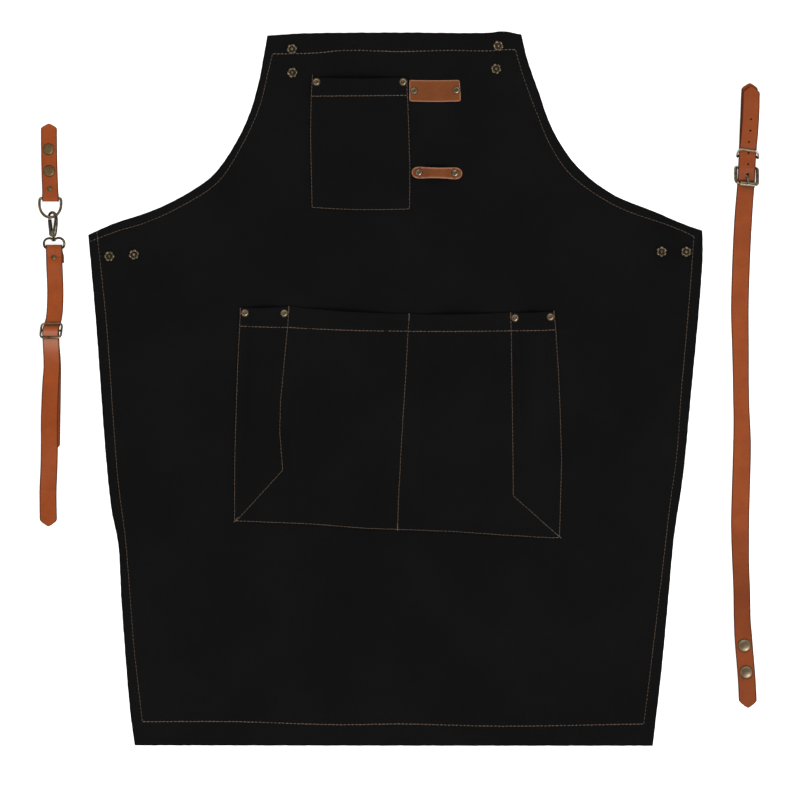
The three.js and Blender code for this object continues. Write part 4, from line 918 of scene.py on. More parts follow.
def leather_plate(stations, rows, lean=0.0):
    """A flat or arched plate and the marks of the painted highlight along its edge; a station is x, front y,
    back y and underside.
    """
    stations = np.asarray(stations, float)
    across = np.concatenate([[0, 0.008, 0.028], np.linspace(0.06, 0.94, rows), [0.972, 0.992, 1]])
    top = np.zeros((len(stations), len(across), 3))
    bottom = np.zeros_like(top)
    edge = np.zeros(top.shape[:2])
    last = len(stations) - 1
    for i, (x, front, back, under) in enumerate(stations):
        from_end = min(i, last - i)
        for j, share in enumerate(across):
            from_side = min(share, 1 - share)
            outer = from_end == 0 or from_side == 0
            rim = 1.0 if outer else 0.35 if from_end == 1 or from_side < 0.01 else 0.0
            inward = from_side * (back - front)
            edge[i, j] = inward < HIGHLIGHT_SIDE or min(x - stations[0, 0], stations[-1, 0] - x) < HIGHLIGHT_END
            press = EDGE_PRESS * math.exp(-(inward - PRESS_INSET) ** 2 / 0.3)
            base = PANEL_TOP + GAP + under
            place = (x - lean * share ** 2 * i / last, front + share * (back - front))
            top[i, j] = *place, base + PLATE * (1 - 0.35 * rim) - press
            bottom[i, j] = *place, base + PLATE * 0.2 * rim
    return solid_sheet(top, bottom), {"edge": np.concatenate([edge.ravel(), edge.ravel()])}


PATCH = {"left": 11.7, "right": 70.2, "front": 327, "back": 351.4, "corner": 2.4, "lean": 1.2,
         "bow": 0.6, "sag": 0.4}


def patch_stations():
    """Stations with rounded corners, the front edge bowed out and the back edge sagging."""
    corner = PATCH["corner"]
    left, right = PATCH["left"], PATCH["right"]
    inset = np.array([0, 0.15, 0.4, 0.8, 1.3, corner])
    xs = np.concatenate([left + inset, np.linspace(left, right, 34)[2:-2], (right - inset)[::-1]])
    rows = []
    for x in xs:
        from_side = min(x - left, right - x)
        cut = 0 if from_side >= corner else corner - math.sqrt(corner ** 2 - (corner - from_side) ** 2)
        arc = math.sin(math.pi * (x - left) / (right - left))
        front = PATCH["front"] - PATCH["bow"] * arc + cut
        rows.append((x, front, PATCH["back"] - PATCH["sag"] * arc - cut, 0.0))
    return rows


patch_shape, patch_marks = leather_plate(patch_stations(), 15, PATCH["lean"])
add_piece("patch_leather_piece", patch_shape, PATCH_LEATHER, "patch_leather", ["label_patch"],
          marks=patch_marks)

# Half of the towel loop from its round end to its middle: x, half width and rise of the arch.
LOOP_MIDDLE = (43.2, 245.4)
LOOP_SLOPE = 0.02
HALF_LOOP = [
    (14.5, 1.2, 0), (14.9, 2.5, 0), (15.7, 3.8, 0), (17.3, 5.3, 0), (19.6, 6.3, 0), (22.5, 6.7, 0),
    (26.8, 6.6, 0), (29.2, 6.5, 1),
    (31.6, 6.3, 2.8), (34.2, 6.2, 4.2), (37.5, 6.1, 4.95), (43.2, 6.0, 5.2),
]
LOOP = HALF_LOOP + [(2 * LOOP_MIDDLE[0] - x, half, rise) for x, half, rise in HALF_LOOP[-2::-1]]


def loop_stations():
    rows = []
    for x, half, rise in smooth_path(LOOP, 1.2):
        middle = LOOP_MIDDLE[1] - LOOP_SLOPE * (x - LOOP_MIDDLE[0])
        rows.append((x, middle - half, middle + half, max(0, rise)))
    return rows


loop_shape, loop_marks = leather_plate(loop_stations(), 9)
add_piece("towel_loop_leather", loop_shape, PATCH_LEATHER, "patch_leather", ["towel_loop"], marks=loop_marks)


# Press studs, rivets and snaps. Profile rows are radius, height, dark mark, lobe and dip; the dark mark is
# patina in the stud's groove and the rivets' dimples, and painted shade round the rims and under the heads.

STUD = [
    (0, 5.3), (0.5, 5.24), (1.0, 5.02), (1.5, 4.6), (1.85, 4.1), (2.0, 3.7, 0.3), (2.0, 3.2, 0.8),
    (2.1, 2.8, 1), (2.5, 2.65, 0.9), (2.8, 2.75, 0.6, 0, 0.05), (3.2, 3.1, 0.2, 0.05, 0.2),
    (3.8, 3.55, 0, 0.15, 0.4), (4.5, 3.75, 0, 0.35, 0.5), (5.0, 3.55, 0, 0.5, 0.45),
    (5.35, 3.1, 0.2, 0.6, 0.3),
    (5.5, 2.7, 0.6, 0.65, 0.1), (5.4, 2.4, 1, 0.6), (5.1, 2.32, 1, 0.55), (1.5, 2.3, 1), (1.5, 0.7, 1),
    (3.8, 0.7, 1), (3.8, 0.15, 1), (0, 0.15, 1),
]
PETALS = 6
# Heads and caps as shares of their radius and dome, with the dark mark: patina in the dimples, painted shade
# round the rims.
RIVET_HEAD = [
    (0, 0.93, 0.5), (0.25, 0.93, 0.45), (0.4, 0.96, 0.25), (0.5, 1, 0), (0.62, 0.95, 0), (0.76, 0.8, 0),
    (0.88, 0.55, 0), (0.96, 0.3, 0.3), (1, 0.12, 0.9), (1.06, 0.04, 1), (1.03, 0, 1),
]
PLAIN_HEAD = [
    (0, 1, 0), (0.3, 0.97, 0), (0.55, 0.86, 0), (0.75, 0.65, 0), (0.9, 0.38, 0.1), (1, 0.12, 0.8),
    (1.05, 0.03, 1), (1.02, 0, 1),
]
FLAT_CAP = [
    (0, 1, 0), (0.4, 1, 0), (0.7, 0.97, 0), (0.84, 0.88, 0), (0.92, 0.7, 0.2), (0.98, 0.4, 0.6),
    (1.03, 0.12, 1), (1.05, 0.04, 1), (1, 0, 1),
]
DOME_CAP = [
    (0, 1, 0), (0.2, 0.991, 0), (0.4, 0.959, 0), (0.55, 0.907, 0), (0.68, 0.833, 0), (0.78, 0.749, 0),
    (0.87, 0.648, 0.05), (0.93, 0.55, 0.35), (0.975, 0.42, 0.8), (1, 0.25, 1), (1.03, 0.05, 1), (1, 0, 1),
]
HEAD_GAP = 0.4 * GAP
HEAD_RISE = 0.4
RIVET_SHANK, SNAP_SHANK = 1.35, 1.7
SOCKET, SOCKET_BORE, SOCKET_DEPTH, SOCKET_BASE = 5.1, 2.5, 1.9, 0.1


def rivet_profile(shares, seat, head, flange, low, high):
    """A head on its seat, and the flange between two heights that holds it from behind."""
    base = seat + HEAD_GAP
    rows = [(head * r, base + HEAD_RISE * head * h, dark) for r, h, dark in shares]
    behind = [(RIVET_SHANK, base), (RIVET_SHANK, high), (flange, high), (flange, low), (0, low)]
    return rows + [(r, z, 1) for r, z in behind]


def snap_profile(shares, cap, dome):
    """A cap above the leather and the socket under it; height 0 is the middle of the leather."""
    top = LEATHER / 2 + HEAD_GAP
    low = SOCKET_BASE - SNAP_SEAT
    deep = low + SOCKET_DEPTH
    rows = [(cap * r, top + dome * h, dark) for r, h, dark in shares]
    below = [(SNAP_SHANK, top), (SNAP_SHANK, -top), (SOCKET, -top), (SOCKET, low), (SOCKET_BORE, low),
             (SOCKET_BORE, deep), (0, deep)]
    return rows + [(r, z, 1) for r, z in below]


def add_turned(node, profile, place, material, slot, sides=40, lobes=0, turn=0.0):
    shape, patina_and_shade = lathe(profile, sides, lobes, turn)
    add_piece(node + "_fine", moved(shape, *place), material, slot, [node], marks={"patina_and_shade": patina_and_shade})


for node, (x, y) in FASTENERS.items():
    if "stud" in node:
        turn = rng.uniform(0, 1)
        add_turned(node, STUD, (x, y, 0), STUD_BRASS, "brass", sides=72, lobes=PETALS, turn=turn)
    else:
        seat = PANEL_TOP + GAP + (PLATE if node[:5] in ("patch", "loop_") else POCKET_HEM)
        profile = rivet_profile(RIVET_HEAD, seat, head=4.2, flange=3.2, low=0.15, high=0.7)
        add_turned(node, profile, (x, y, 0), RIVET_BRASS, "rivet_brass")

WAIST_TAB_CAP = snap_profile(FLAT_CAP, cap=6.4, dome=1.5)
HIDDEN_CAP = snap_profile(FLAT_CAP, cap=6.4, dome=1.3)
NECK_CAP = snap_profile(DOME_CAP, cap=7.4, dome=2.8)
SNAPS = {
    "waist_tab_snap_1": (-399, 272.4, WAIST_TAB_CAP, FLAT_BRASS),
    "waist_tab_snap_2": (-398.2, 247.7, WAIST_TAB_CAP, FLAT_BRASS),
    "waist_end_snap_1": (-395.4, -18.6, HIDDEN_CAP, FLAT_BRASS),
    "waist_end_snap_2": (-395.8, -43.3, HIDDEN_CAP, FLAT_BRASS),
    "neck_snap_1": (393.2, -292.6, NECK_CAP, DOME_BRASS),
    "neck_snap_2": (395.2, -323, NECK_CAP, DOME_BRASS),
    "neck_tab_snap_1": (397.9, 312.7, HIDDEN_CAP, FLAT_BRASS),
    "neck_tab_snap_2": (396.9, 287.9, HIDDEN_CAP, FLAT_BRASS),
}
for node, (x, y, profile, material) in SNAPS.items():
    add_turned(node, profile, (x, y, SNAP_SEAT), material, "brass", sides=48)

# Places of the straps' rivets and the height of the leather under their heads.
STRAP_RIVETS = {
    "waist_tab_rivet": (-397.5, 227.4, 4.65),
    "waist_strap_rivet": (-393, 149, 4.65),
    "waist_end_rivet": (-396, 46.4, 3.7),
    "neck_tab_rivet": (396.2, 259.2, 3.55),
}
for node, (x, y, seat) in STRAP_RIVETS.items():
    profile = rivet_profile(PLAIN_HEAD, seat, head=2.9, flange=2.6, low=0.1, high=0.6)
    add_turned(node, profile, (x, y, 0), FLAT_BRASS, "rivet_brass", sides=32)


# Straps: ribbons with rounded, burnished edges along the CAD's routes.

SNAP_HOLE, RIVET_HOLE, BUCKLE_HOLE = 2, 1.8, 1.15
CUT_LOW, CUT_HIGH = -4, 12


def holes_for(prefix):
    """Holes under the snaps and rivets whose names start so: x, y and radius."""
    rows = [(x, y, SNAP_HOLE) for node, (x, y, *_) in SNAPS.items() if node.startswith(prefix)]
    return rows + [(x, y, RIVET_HOLE) for node, (x, y, _) in STRAP_RIVETS.items() if node.startswith(prefix)]


def around(bar, radius, start, end, steps, thickness=LEATHER):
    """Route rows round a bar from one angle to another, in degrees."""
    turns = np.radians(np.linspace(start, end, steps + 1))
    return [(bar[0] + radius * math.cos(t), bar[1] + radius * math.sin(t), thickness, 0) for t in turns]


def flat_run(*rows):
    """Route rows of y and mid height, with thickness and sideways shift where they differ."""
    return [tuple(row) + (LEATHER, 0)[len(row) - 2:] for row in rows]


def section(half, deep):
    """Points round a strap's cut: across, through and 1 on its edges."""
    bend = min(EDGE_BEND, 0.8 * deep, 0.8 * half)
    corner = [(bend * math.cos(t), deep - bend + bend * math.sin(t), 1) for t in np.radians([0, 45, 90])]
    upper = [(half - bend + a, b, mark) for a, b, mark in corner]
    upper += [((half - bend) * share, deep + CROWN * (1 - share ** 2),
               max(0, abs(share) - EDGE_STARTS) * EDGE_RISE) for share in FLAT_SHARES]
    upper += [(-half + bend - a, b, mark) for a, b, mark in corner[::-1]]
    return upper + [(-a, -b, mark) for a, b, mark in upper]


def strap(name, node, route, plan, widths, tips, holes=(), slots=(), creases=(), tone_and_shade=((0, 0),),
          sheen_and_tint=((0, 0),), spacing=1.6):
    """A strap along a route of y and height; widths, darker tone with painted shade, and painted sheen with
    tint are given by y.
    """
    path = smooth_path(route, spacing)
    middle = smooth_path(plan, 4)[::-1]
    widths, tone_and_shade, sheen_and_tint = (np.asarray(table, float) for table in (widths, tone_and_shade, sheen_and_tint))
    skin, edges, tone_and_shade_marks, sheen_and_tint_marks = [], [], [], []
    for (y, z, thickness, shift), (run_y, run_z) in zip(path, directions(path[:, :2])):
        full = np.interp(y, widths[:, 0], widths[:, 1]) / 2
        half = full
        for shoulder, apex in tips:
            past = np.clip((y - shoulder) / (apex - shoulder), 0, 1) ** TIP_ROUND
            half = min(half, full + (TIP_HALF - full) * past)
        x = np.interp(y, middle[:, 0], middle[:, 1]) + shift
        rows = section(half, thickness / 2)
        skin.append([(x + a, y - run_z * b, z + run_y * b) for a, b, _ in rows])
        edges += [mark for _, _, mark in rows]
        # Painted shade on a layer that is folded under.
        tone_and_shade_marks += [np.interp(y, tone_and_shade[:, 0], tone_and_shade[:, 1]) + UNDER_SHADE * min(1, shift)] * len(rows)
        sheen_and_tint_marks += [np.interp(y, sheen_and_tint[:, 0], sheen_and_tint[:, 1])] * len(rows)
    skin = np.array(skin)
    upper = skin[:, :len(rows) // 2]
    for start, end, half, height in creases:
        far, _ = near_line(upper[..., :2].reshape(-1, 2), np.array([start, end], float))
        upper[..., 2] += height * np.exp(-(far / half) ** 2).reshape(upper.shape[:2])
    cutters = [moved(lathe([(r, CUT_HIGH), (r, CUT_LOW)], 20)[0], x, y, 0) for x, y, r in holes]
    for x, y, half_x, half_y in slots:
        rim = [(x + half_x * math.copysign(abs(math.cos(t)) ** 0.7, math.cos(t)), y + half_y * math.sin(t))
               for t in circle(20)]
        cutters.append(loft([[(a, b, z) for a, b in rim] for z in (CUT_LOW, CUT_HIGH)]))
    add_piece(name, loft(skin), STRAP_LEATHER, "strap_leather", [node], cutters=cutters,
              marks={"edge": edges, "tone_and_shade": tone_and_shade_marks, "sheen_and_tint": sheen_and_tint_marks}, sharp_deg=50)


RING_BAR = (216.2, 3.8)
EYE_BAR = (160.5, 3.9)
SLIDER_TOP, SLIDER_MIDDLE, SLIDER_BOTTOM = (73.9, 3.6), (66, 3.9), (58.05, 6.3)
HINGE, FRONT = (251.2, 3.0), (232.9, 5.05)
THIN = (SKIVED, 0)

strap(
    "waist_tab_leather", "waist_tab",
    flat_run((301.5, 3.6), (296, 3.9), (283, 4.35), (276, SNAP_SEAT), (242, SNAP_SEAT), (236, 4.2),
             (231.8, 3.8), (225, 3.8), (221.6, 4.9))
    + around(RING_BAR, 2.65, 72, 275, 9) + flat_run((222, 1.4), (224.5, 1.75), (234, 1.75)),
    [(301.5, -398.6), (272, -398.4), (247, -397.9), (213, -396.7)],
    [(212, 19.2), (224, 18.5), (300, 18.3)], [(296, 301.5)],
    holes=holes_for("waist_tab_"))

strap(
    "waist_strap_leather", "waist_strap",
    flat_run((142.9, 1.75, LEATHER, 1.6), (151.5, 1.75, LEATHER, 1.6), (155, 1.6, LEATHER, 0.6))
    + around(EYE_BAR, 2.35, 272, 462, 9)
    + flat_run((154, 4.75), (151.5, 3.8), (141.5, 3.8), (132, 2.4), (121, 1.2), (112, 0.95), (90, 0.95),
               (80, 1.05))
    + around(SLIDER_TOP, 2.35, 266, 216, 4) + around(SLIDER_MIDDLE, 3.85, 36, 121.5, 6)
    + around(SLIDER_BOTTOM, 2.35, 301.5, 258, 4)
    + flat_run((48, 6.1), (36, 6.8), (22, 7.6), (6, 8.15), (-52, 8.15), (-68, 7.1), (-88, 4.6), (-104, 2.4),
               (-117, 1.15), (-128, 0.95), (-149, 0.95), (-157, 0.95)),
    [(164, -392.8), (142, -392.4), (106, -391.4), (80, -393), (66, -396.8), (52, -396.2), (24, -395.2),
     (8, -396.3), (-35, -397.9), (-63, -397.9), (-90, -398.5), (-116, -399.7), (-157, -399.3)],
    [(-157, 19.8), (-63, 19.5), (-10, 19.4), (20, 18.9), (80, 18.7)], [(-149.5, -157)],
    holes=holes_for("waist_strap_"), creases=[((-408, -114.6), (-392, -113.4), 0.9, -0.22)],
    # Painted shade in and beside the crease at y -114, and a slight darker tone.
    tone_and_shade=[(-157, 0.03), (-117, 0.03), (-114, 0.17), (-111, 0.1), (-98, 0.06), (-80, 0.02), (0, 0)],
    # Painted sheen where the strap bends over the slider's bars and rises below it.
    sheen_and_tint=[(16, 0), (30, 0.05), (41, 0.17), (49, 0.5), (56, 0.7), (60, 0.5), (64.5, 0.42), (67, 0.1), (69, 0)])

strap(
    "waist_end_leather", "waist_end_tab",
    flat_run((41, 1.55) + THIN, (50, 1.55) + THIN, (55.5, 0.72) + THIN, (60, 0.68) + THIN)
    + around(SLIDER_MIDDLE, 2.1, 250, 485, 10, SKIVED)
    + flat_run((60, 2.3) + THIN, (55.5, 2.24) + THIN, (50, 3.05) + THIN, (41, 3.1) + THIN, (30, 3.9),
               (16, 4.35), (-10, SNAP_SEAT), (-52, SNAP_SEAT), (-64, 4.2), (-72.3, 3.9)),
    [(70, -396.4), (48, -395.7), (36, -394.6), (24, -394.1), (10, -394.2), (-13, -394.6), (-72.3, -395.6)],
    [(-20, 19.2), (48, 18.6)], [(-64, -72.3)],
    holes=holes_for("waist_end_"))

NECK_HOLES = [(400.6, 306.6), (399.8, 293.5), (398.2, 280.6), (397.6, 268.2), (397.3, 255.3)]
strap(
    "neck_strap_leather", "neck_strap",
    flat_run((-363.5, 3.8), (-355, 4), (-338, 4.4), (-330, SNAP_SEAT), (-285, SNAP_SEAT), (-273, 3.9),
             (-258, 2), (-244, 1), (-195, 0.95), (-150, 0.95), (-93, 0.95), (-13, 0.95), (89, 0.95),
             (169, 0.95), (203, 0.95), (222, 0.95))
    + around(FRONT, 4.1, 270, 289.4, 2) + flat_run((241, 3.6)) + around(HINGE, 3.95, 109.4, 88, 3)
    + flat_run((262, 7.1), (271, 7.35), (279, 8.15), (322, 8.15), (331, 7.95), (336.5, 7.75), (343.5, 7.45)),
    [(343.5, 401.1), (334, 400.9), (315, 400.4), (301, 399.6), (287.5, 398.6), (274, 397.3), (254, 396),
     (238, 395.4), (203, 392.7), (169, 390.7), (123, 388.9), (89, 388.2), (44, 388.9), (-13, 389.7),
     (-59, 390.7), (-127, 389), (-150, 388.5), (-195, 389), (-230, 390.3), (-264, 390.9), (-286, 392.2),
     (-332, 395.9), (-363.5, 397.5)],
    [(-355, 20.4), (-282, 20.3), (-264, 19.3), (-209, 19.2), (-191, 19.6), (-172, 20.4), (-154, 20.8),
     (-81, 20.7), (-63, 20.4), (-27, 18.4), (10, 18.3), (46, 19.2), (83, 20.2), (192, 20.4), (228, 19.9),
     (280, 19.8), (340, 19.5)],
    [(-355, -363.5), (336.5, 343.5)],
    holes=[(x, y, BUCKLE_HOLE) for x, y in NECK_HOLES] + holes_for("neck_snap"),
    slots=[(396.95, 242.8, 1.65, 2.3)],
    creases=[((382.7, -152.1), (397.5, -131.6), 0.9, 0.16), ((384.5, -146), (391, -137.5), 0.8, 0.12),
             ((390, -147), (396.5, -139), 0.8, 0.1)],
    # Darker towards the lower end, painted shade on the slope between the roller and the hinge (y 243 to
    # 257), and a slight darker tone.
    tone_and_shade=[(-364, 0.45), (-340, 0.3), (-285, 0.31), (-235, 0.55), (-190, 0.28), (-150, 0.06), (0, 0.04),
           (130, 0.05), (200, 0.16), (239, 0.16), (243, 0.34), (257, 0.34), (263, 0.18), (345, 0.19)],
    # A slight tint all along, in the colour of the painted sheen.
    sheen_and_tint=[(0, 0.03)], spacing=1.2)

strap(
    "neck_tab_leather", "neck_tab",
    flat_run((347.6, 3.9), (341, 4.15), (330, 4.4), (322, SNAP_SEAT), (280, SNAP_SEAT), (272, 4),
             (266.5, 3.55, 1.5, 0), (262.3, 2.95) + THIN, (255.8, 2.95) + THIN)
    + around(HINGE, 2.2, 66, 275, 9, SKIVED)
    + flat_run((255, 1.2) + THIN, (256.4, 1.4) + THIN, (263, 1.4) + THIN),
    [(347.6, 399.4), (340, 399.1), (328, 398.5), (312, 397.9), (288, 396.9), (268, 396.3), (248, 396)],
    [(0, 18.8)], [(341, 347.6)],
    holes=holes_for("neck_tab_"),
    # Painted shadow of the neck strap that lies over the tab.
    slots=[(396.5, 249.7, 1.4, 4.4)], tone_and_shade=[(332, 0.5), (342, 0.16)])


# Wire pieces: D-ring, swivel eye, slider, buckle and keeper.

# Where a bent corner starts and how far it cuts the corner, as shares of its bend.
CORNER_REACH, CORNER_CUT = 1.6, 0.29


def framed(corners, bends):
    """Route round a frame; each corner is rounded by its own bend."""
    corners = np.asarray(corners, float)
    rows = []
    for i, (corner, bend) in enumerate(zip(corners, bends)):
        back = corners[i - 1] - corner
        ahead = corners[(i + 1) % len(corners)] - corner
        back *= bend / np.linalg.norm(back)
        ahead *= bend / np.linalg.norm(ahead)
        rows += [corner + CORNER_REACH * back, corner + back, corner + CORNER_CUT * (back + ahead),
                 corner + ahead, corner + CORNER_REACH * ahead]
    return rows


def wire(name, node, shape, material, below=0, **more):
    """A piece of bent or cast metal, with painted shade on its sides and below a height."""
    add_piece(name, shape, material, "brass", [node], shade_below=below, **more)


RING_WIRE, EYE_WIRE, SLIDER_WIRE, SLIDER_BAR, KEEPER_WIRE = 1.62, 1.42, 1.25, 1.2, 1.15
HOOK_Z = 6.9
RING_X, RING_REACH = -397, 21.2
D_RING = [
    (-11, -0.2), (-12.2, 1.6), (-12.4, 5), (-11.9, 10.5), (-9.6, 16), (-5.4, 20), (0, 21.2), (5.4, 20),
    (9.6, 16), (11.9, 10.5), (12.4, 5), (12.2, 1.6), (11, -0.2), (6, 0), (0, 0), (-6, 0),
]
ring_rise = (HOOK_Z - RING_BAR[1]) / RING_REACH
ring_route = [(RING_X + a, RING_BAR[0] - d, RING_BAR[1] + max(0, d) * ring_rise) for a, d in D_RING]
wire("d_ring_wire", "d_ring", tube(ring_route, RING_WIRE, True, 20), OLD_BRASS)

HOOK_PLACE = (-393, 167.3, HOOK_Z)
HOOK_LEAN = math.radians(3.5)
HOOK_ROLL = math.radians(45)
hook_frame = Matrix.Translation(HOOK_PLACE) @ Matrix.Rotation(HOOK_LEAN, 4, "Z")
along_y = Matrix.Rotation(-math.pi / 2, 4, "X")
along_x = Matrix.Rotation(math.pi / 2, 4, "Y")
EYE_X, EYE_REACH = -392.6, 9.8
EYE = [
    (1.6, 9.9), (5.2, 10.9), (9.3, 9.5), (11.5, 6), (11.4, 2.2), (9.9, 0), (6, 0), (0, 0), (-6, 0),
    (-9.9, 0), (-11.4, 2.2), (-11.5, 6), (-9.3, 9.3), (-5.6, 10.5), (-2.6, 9.9),
]
eye_rise = (HOOK_Z - EYE_BAR[1]) / EYE_REACH
eye_route = [(EYE_X + a, EYE_BAR[0] + r, EYE_BAR[1] + min(EYE_REACH, r) * eye_rise) for a, r in EYE]
COLLAR = [(1.55, 1.7), (2.3, 1.7), (2.5, 1.9), (2.5, 4.4), (2.3, 4.6), (1.55, 4.6)]
wire("swivel_eye_wire", "swivel_eye", tube(eye_route, EYE_WIRE), DARK_BRASS, below=6,
     joined=[placed(turned_ring(COLLAR), hook_frame @ along_y)])

SLIDER_X, SLIDER_HALF, SLIDER_SKEW, SLIDER_BEND = -396, 11.8, 0.9, 3.4
slider_route = framed([
    (SLIDER_X + skew + half, *bar) for skew, half, bar in (
        (SLIDER_SKEW, -SLIDER_HALF, SLIDER_TOP), (SLIDER_SKEW, SLIDER_HALF, SLIDER_TOP),
        (-SLIDER_SKEW, SLIDER_HALF, SLIDER_BOTTOM), (-SLIDER_SKEW, -SLIDER_HALF, SLIDER_BOTTOM))
], [SLIDER_BEND] * 4)
bar_route = [(SLIDER_X + share * SLIDER_HALF, *SLIDER_MIDDLE) for share in (-1, -0.4, 0.4, 1)]
wire("slider_wire", "strap_slider", tube(slider_route, SLIDER_WIRE, True), OLD_BRASS,
     joined=[tube(bar_route, SLIDER_BAR)])

BUCKLE_X, BUCKLE_HALF, BUCKLE_SLANT = 395.7, 12.4, 0.105
HINGE_HALF, HINGE_LEAN = 9, 1.0
SIDE_WIRE, BAR_WIRE = 1.95, 1.35
BUCKLE_BENDS = [1.8, 0.5, 0.5, 1.8, 2.8, 4.4]
slant_drop = BUCKLE_SLANT * BUCKLE_HALF
buckle_route = framed([
    (BUCKLE_X - BUCKLE_HALF, HINGE[0] + HINGE_LEAN, HINGE[1]), (BUCKLE_X - HINGE_HALF, *HINGE),
    (BUCKLE_X + HINGE_HALF, *HINGE), (BUCKLE_X + BUCKLE_HALF, HINGE[0] - HINGE_LEAN, HINGE[1]),
    (BUCKLE_X + BUCKLE_HALF, FRONT[0] - slant_drop, FRONT[1]),
    (BUCKLE_X - BUCKLE_HALF, FRONT[0] + slant_drop, FRONT[1]),
], BUCKLE_BENDS)
into_bar = [SIDE_WIRE] * 3 + [BAR_WIRE] * 2
out_of_bar = into_bar[::-1]
buckle_radii = into_bar + [BAR_WIRE] * 10 + out_of_bar + into_bar + out_of_bar
wire("buckle_wire", "buckle_frame", tube(buckle_route, buckle_radii, True, 20), OLD_BRASS)

ROLLER = [(1.6, -7.2), (2.7, -7.2), (2.9, -7), (2.9, 9.8), (2.7, 10), (1.6, 10)]
ROLLER_SIDES = 56
# Bands along the roller from its front to its back, as shares of its radius, and their painted dark
# reflection.
ROLLER_BANDS = [
    (-1, 1), (-0.84, 1), (-0.7, 0), (-0.2, 0), (-0.05, 0.9), (0.1, 0.9), (0.22, 0.45), (0.8, 0.5), (0.95, 1),
]
roller_painted_reflection = np.interp(np.sin(circle(ROLLER_SIDES)), *np.transpose(ROLLER_BANDS))
roller_frame = Matrix.Translation((BUCKLE_X, *FRONT)) @ Matrix.Rotation(-math.atan(BUCKLE_SLANT), 4, "Z")
add_piece(
    "buckle_roller_tube", placed(turned_ring(ROLLER, ROLLER_SIDES), roller_frame @ along_x), LIT_BRASS,
    "brass", ["buckle_roller"], marks={"patina_and_shade": np.repeat(roller_painted_reflection, len(ROLLER))})

TONGUE_X, TONGUE_LEAN = 396.5, 0.07
TONGUE_ARM = [
    (249.3, 3.0, 1.0), (246.8, 2.3, 1.5), (244.8, 2.3, 1.9), (243.2, 3.8, 1.55), (241.6, 5.7, 1.35),
    (239.6, 7.3, 1.25), (236, 8.8, 1.25), (233.2, 8.95, 0.9),
]
tongue_route = [(TONGUE_X + TONGUE_LEAN * (TONGUE_ARM[0][0] - y), y, z) for y, z, _ in TONGUE_ARM]
TONGUE_EYE = [(1.55, -1.05), (2.4, -1.05), (2.55, -0.9), (2.55, 0.9), (2.4, 1.05), (1.55, 1.05)]
tongue_eye = placed(turned_ring(TONGUE_EYE), Matrix.Translation((TONGUE_X, *HINGE)) @ along_x)
wire("buckle_tongue_wire", "buckle_tongue", tongue_eye, OLD_BRASS, below=6.5,
     joined=[tube(tongue_route, [row[2] for row in TONGUE_ARM])])

KEEPER_PLACE = (396.6, 265.4, 1.25)
KEEPER = [
    (-9.6, 0.1, 0), (-8, 0.3, 0), (8, 0, 0), (9.6, -0.9, 0.1), (11.8, -3.2, 1.5), (12.5, -2.3, 4.05),
    (12.1, 1.2, 7.2), (10, 4.1, 8.65), (2.2, 5.4, 8.65), (-6.6, 6.7, 8.65), (-9.6, 5.6, 8.2),
    (-11.4, 2.6, 6.6), (-11.8, -0.5, 4.05), (-11.2, -1.5, 1.4),
]
wire("keeper_wire", "strap_keeper", tube(np.array(KEEPER) + KEEPER_PLACE, KEEPER_WIRE, True),
     LIT_BRASS, below=7.2)


# Snap hook in its own frame: x towards its back, y along it, z through it.

rolled = hook_frame @ Matrix.Rotation(-HOOK_ROLL, 4, "Y")
# Rows of x, y and radius.
SPINE = [
    (0.5, 6.2, 2.3), (2.2, 9.8, 2.7), (4, 15, 2.6), (5.5, 21, 2.4), (6.3, 26, 2.1), (5.6, 30, 1.85),
    (2.6, 32.6, 1.7), (-1, 33, 1.65), (-4.3, 31.2, 1.45), (-5.2, 28, 1.4), (-5, 26, 1.4),
]
BUTTON = [
    (0, 6.5), (2.1, 6.5), (2.1, 5.5), (1.9, 5.3), (1.25, 5.3), (1.25, 1.4), (2.5, 1.4), (2.8, 1.1),
    (2.8, 0.75), (2.3, 0.3), (1.5, 0.05), (0, 0),
]
CHEEK = [
    (1.2, 5.6), (1.8, 13), (-1.4, 12.5), (-3.4, 11.6), (-4.6, 10.3), (-5, 9.2), (-4.6, 7.4), (-1.6, 5.6),
]
CHEEK_LEVELS = [(1.7, 2.3), (-2.3, -1.7)]
CHEEK_BEND, GATE_BEND = 0.2, 0.3
GATE_HALF, GATE_EYE = 1.6, 1.7
PIN_PLACE = (-3.3, 9, 0)
PIN = [
    (0, 2.55), (0.7, 2.5), (0.95, 2.3), (0.75, 2.2), (0.75, -2.2), (0.95, -2.3), (0.7, -2.5), (0, -2.55),
]
GATE_BORE = [(1.05, 3), (1.05, -3)]


def plate(outline, low, high, bend):
    """A flat plate with eased edges: an outline between two heights."""
    points = np.asarray(outline, float)
    middle = points.mean(0)
    small = middle + (points - middle) * (1 - bend / np.abs(points - middle).max())
    levels = ((small, low), (points, low + bend), (points, high - bend), (small, high))
    return loft([np.column_stack([p, np.full(len(p), z)]) for p, z in levels])


spine_shape = tube([(x, y, 0) for x, y, _ in SPINE], [r for _, _, r in SPINE], sides=22)
wire("hook_metal", "hook_body", placed(spine_shape, rolled), DARK_BRASS, below=4.8, body=HOOK, joined=[
    placed(lathe(BUTTON, 28)[0], rolled @ along_y),
    *[placed(plate(CHEEK, low, high, CHEEK_BEND), rolled) for low, high in CHEEK_LEVELS],
    placed(moved(lathe(PIN, 20)[0], *PIN_PLACE), rolled),
])

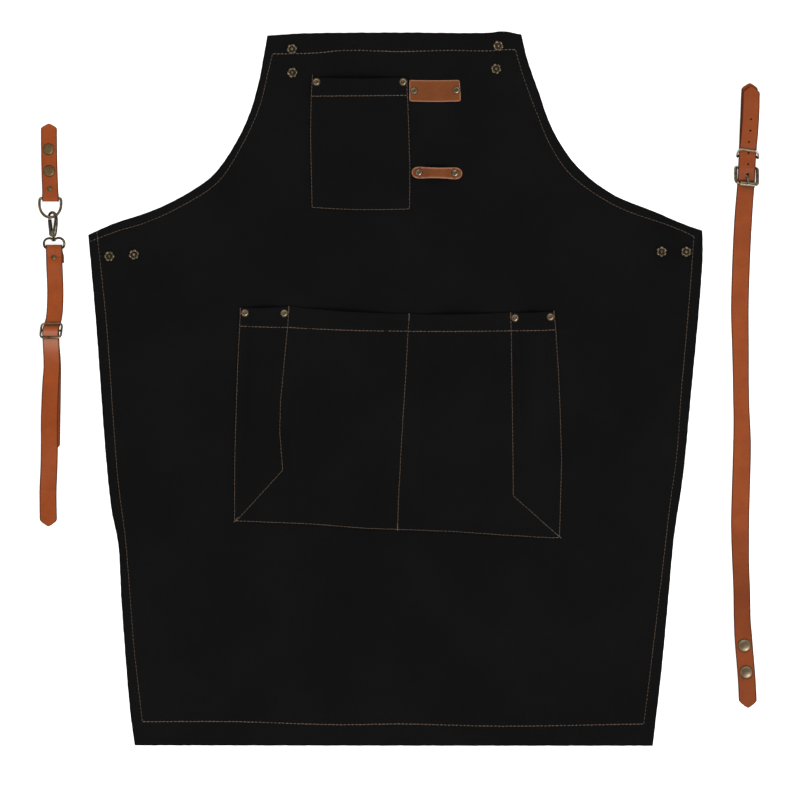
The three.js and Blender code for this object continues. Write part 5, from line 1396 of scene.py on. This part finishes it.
gate_eye = [(PIN_PLACE[0] + GATE_EYE * math.cos(t), PIN_PLACE[1] + GATE_EYE * math.sin(t))
            for t in np.radians(range(200, 345, 16))]
GATE_ARM = [
    (-1.9, 10.5), (-2.2, 16.5), (-2.7, 22), (-3.1, 25.6), (-5.9, 25.6), (-5.9, 20), (-5.6, 15), (-5.3, 12),
]
gate_plate = plate(gate_eye + GATE_ARM, -GATE_HALF, GATE_HALF, GATE_BEND)
wire("hook_gate_metal", "hook_gate", placed(gate_plate, rolled), SHADED_GATE_BRASS, body=GATE,
     cutters=[placed(moved(lathe(GATE_BORE, 20)[0], *PIN_PLACE), rolled)])


# Stage, light and camera.

FLOOR_SIZE = 12000
FLOOR_LEVEL = -0.3


def add_floor():
    """White paper that is lit from below as well, so that shadows on it stay faint."""
    paint = Paint(bpy.data.materials.new("paper"))
    fibres = paint.node("TexNoise", Scale=500, Detail=3).outputs["Fac"]
    tone = paint.ramp(fibres, (0.3, 0.86), (0.7, 0.9))
    material = paint.finish(Base_Color=tone, Roughness=1.0, Specular_IOR_Level=0.0,
                            Emission_Color=rgba(1), Emission_Strength=0.6)
    corners = np.array([(-1, -1, 0), (1, -1, 0), (1, 1, 0), (-1, 1, 0)]) * FLOOR_SIZE
    floor = make_object("floor", (corners + (0, 0, FLOOR_LEVEL), [(0, 1, 2, 3)]))
    floor.data.materials.append(material)


def add_sun(name, toward, height_deg, strength, angle_deg):
    """A wide, soft light that shines from a direction in plan and a height above the floor."""
    light = bpy.data.lights.new(name, "SUN")
    light.energy = strength
    light.angle = math.radians(angle_deg)
    lamp = bpy.data.objects.new(name, light)
    source = Vector((*toward, 0)).normalized() + Vector((0, 0, math.tan(math.radians(height_deg))))
    lamp.rotation_euler = (-source).to_track_quat("-Z", "Y").to_euler()
    bpy.context.scene.collection.objects.link(lamp)


def add_world():
    """A studio that is bright all round and dim straight above."""
    paint = Paint(bpy.data.worlds.new("studio"), "Background")
    height = paint.node("SeparateXYZ", Vector=paint.places["Generated"]).outputs["Z"]
    bpy.context.scene.world = paint.finish(Color=paint.ramp(height, (0.82, 0.89), (0.91, 0.15)))


add_floor()
add_sun("key", toward=(0.5, -0.85), height_deg=58, strength=1.67, angle_deg=30)
add_sun("fill", toward=(-0.2, 1), height_deg=50, strength=0.41, angle_deg=50)
add_world()
bpy.context.scene.view_settings.view_transform = "Standard"

camera_data = bpy.data.cameras.new("camera")
camera_data.sensor_width = SENSOR_WIDTH
camera_data.lens = SENSOR_WIDTH * CAMERA_HEIGHT / (PICTURE_PX * MM_PER_PX * MM)
camera = bpy.data.objects.new("camera", camera_data)
camera.location = (PICTURE_MIDDLE[0] * MM, PICTURE_MIDDLE[1] * MM, CAMERA_HEIGHT)
bpy.context.scene.collection.objects.link(camera)
bpy.context.scene.camera = camera
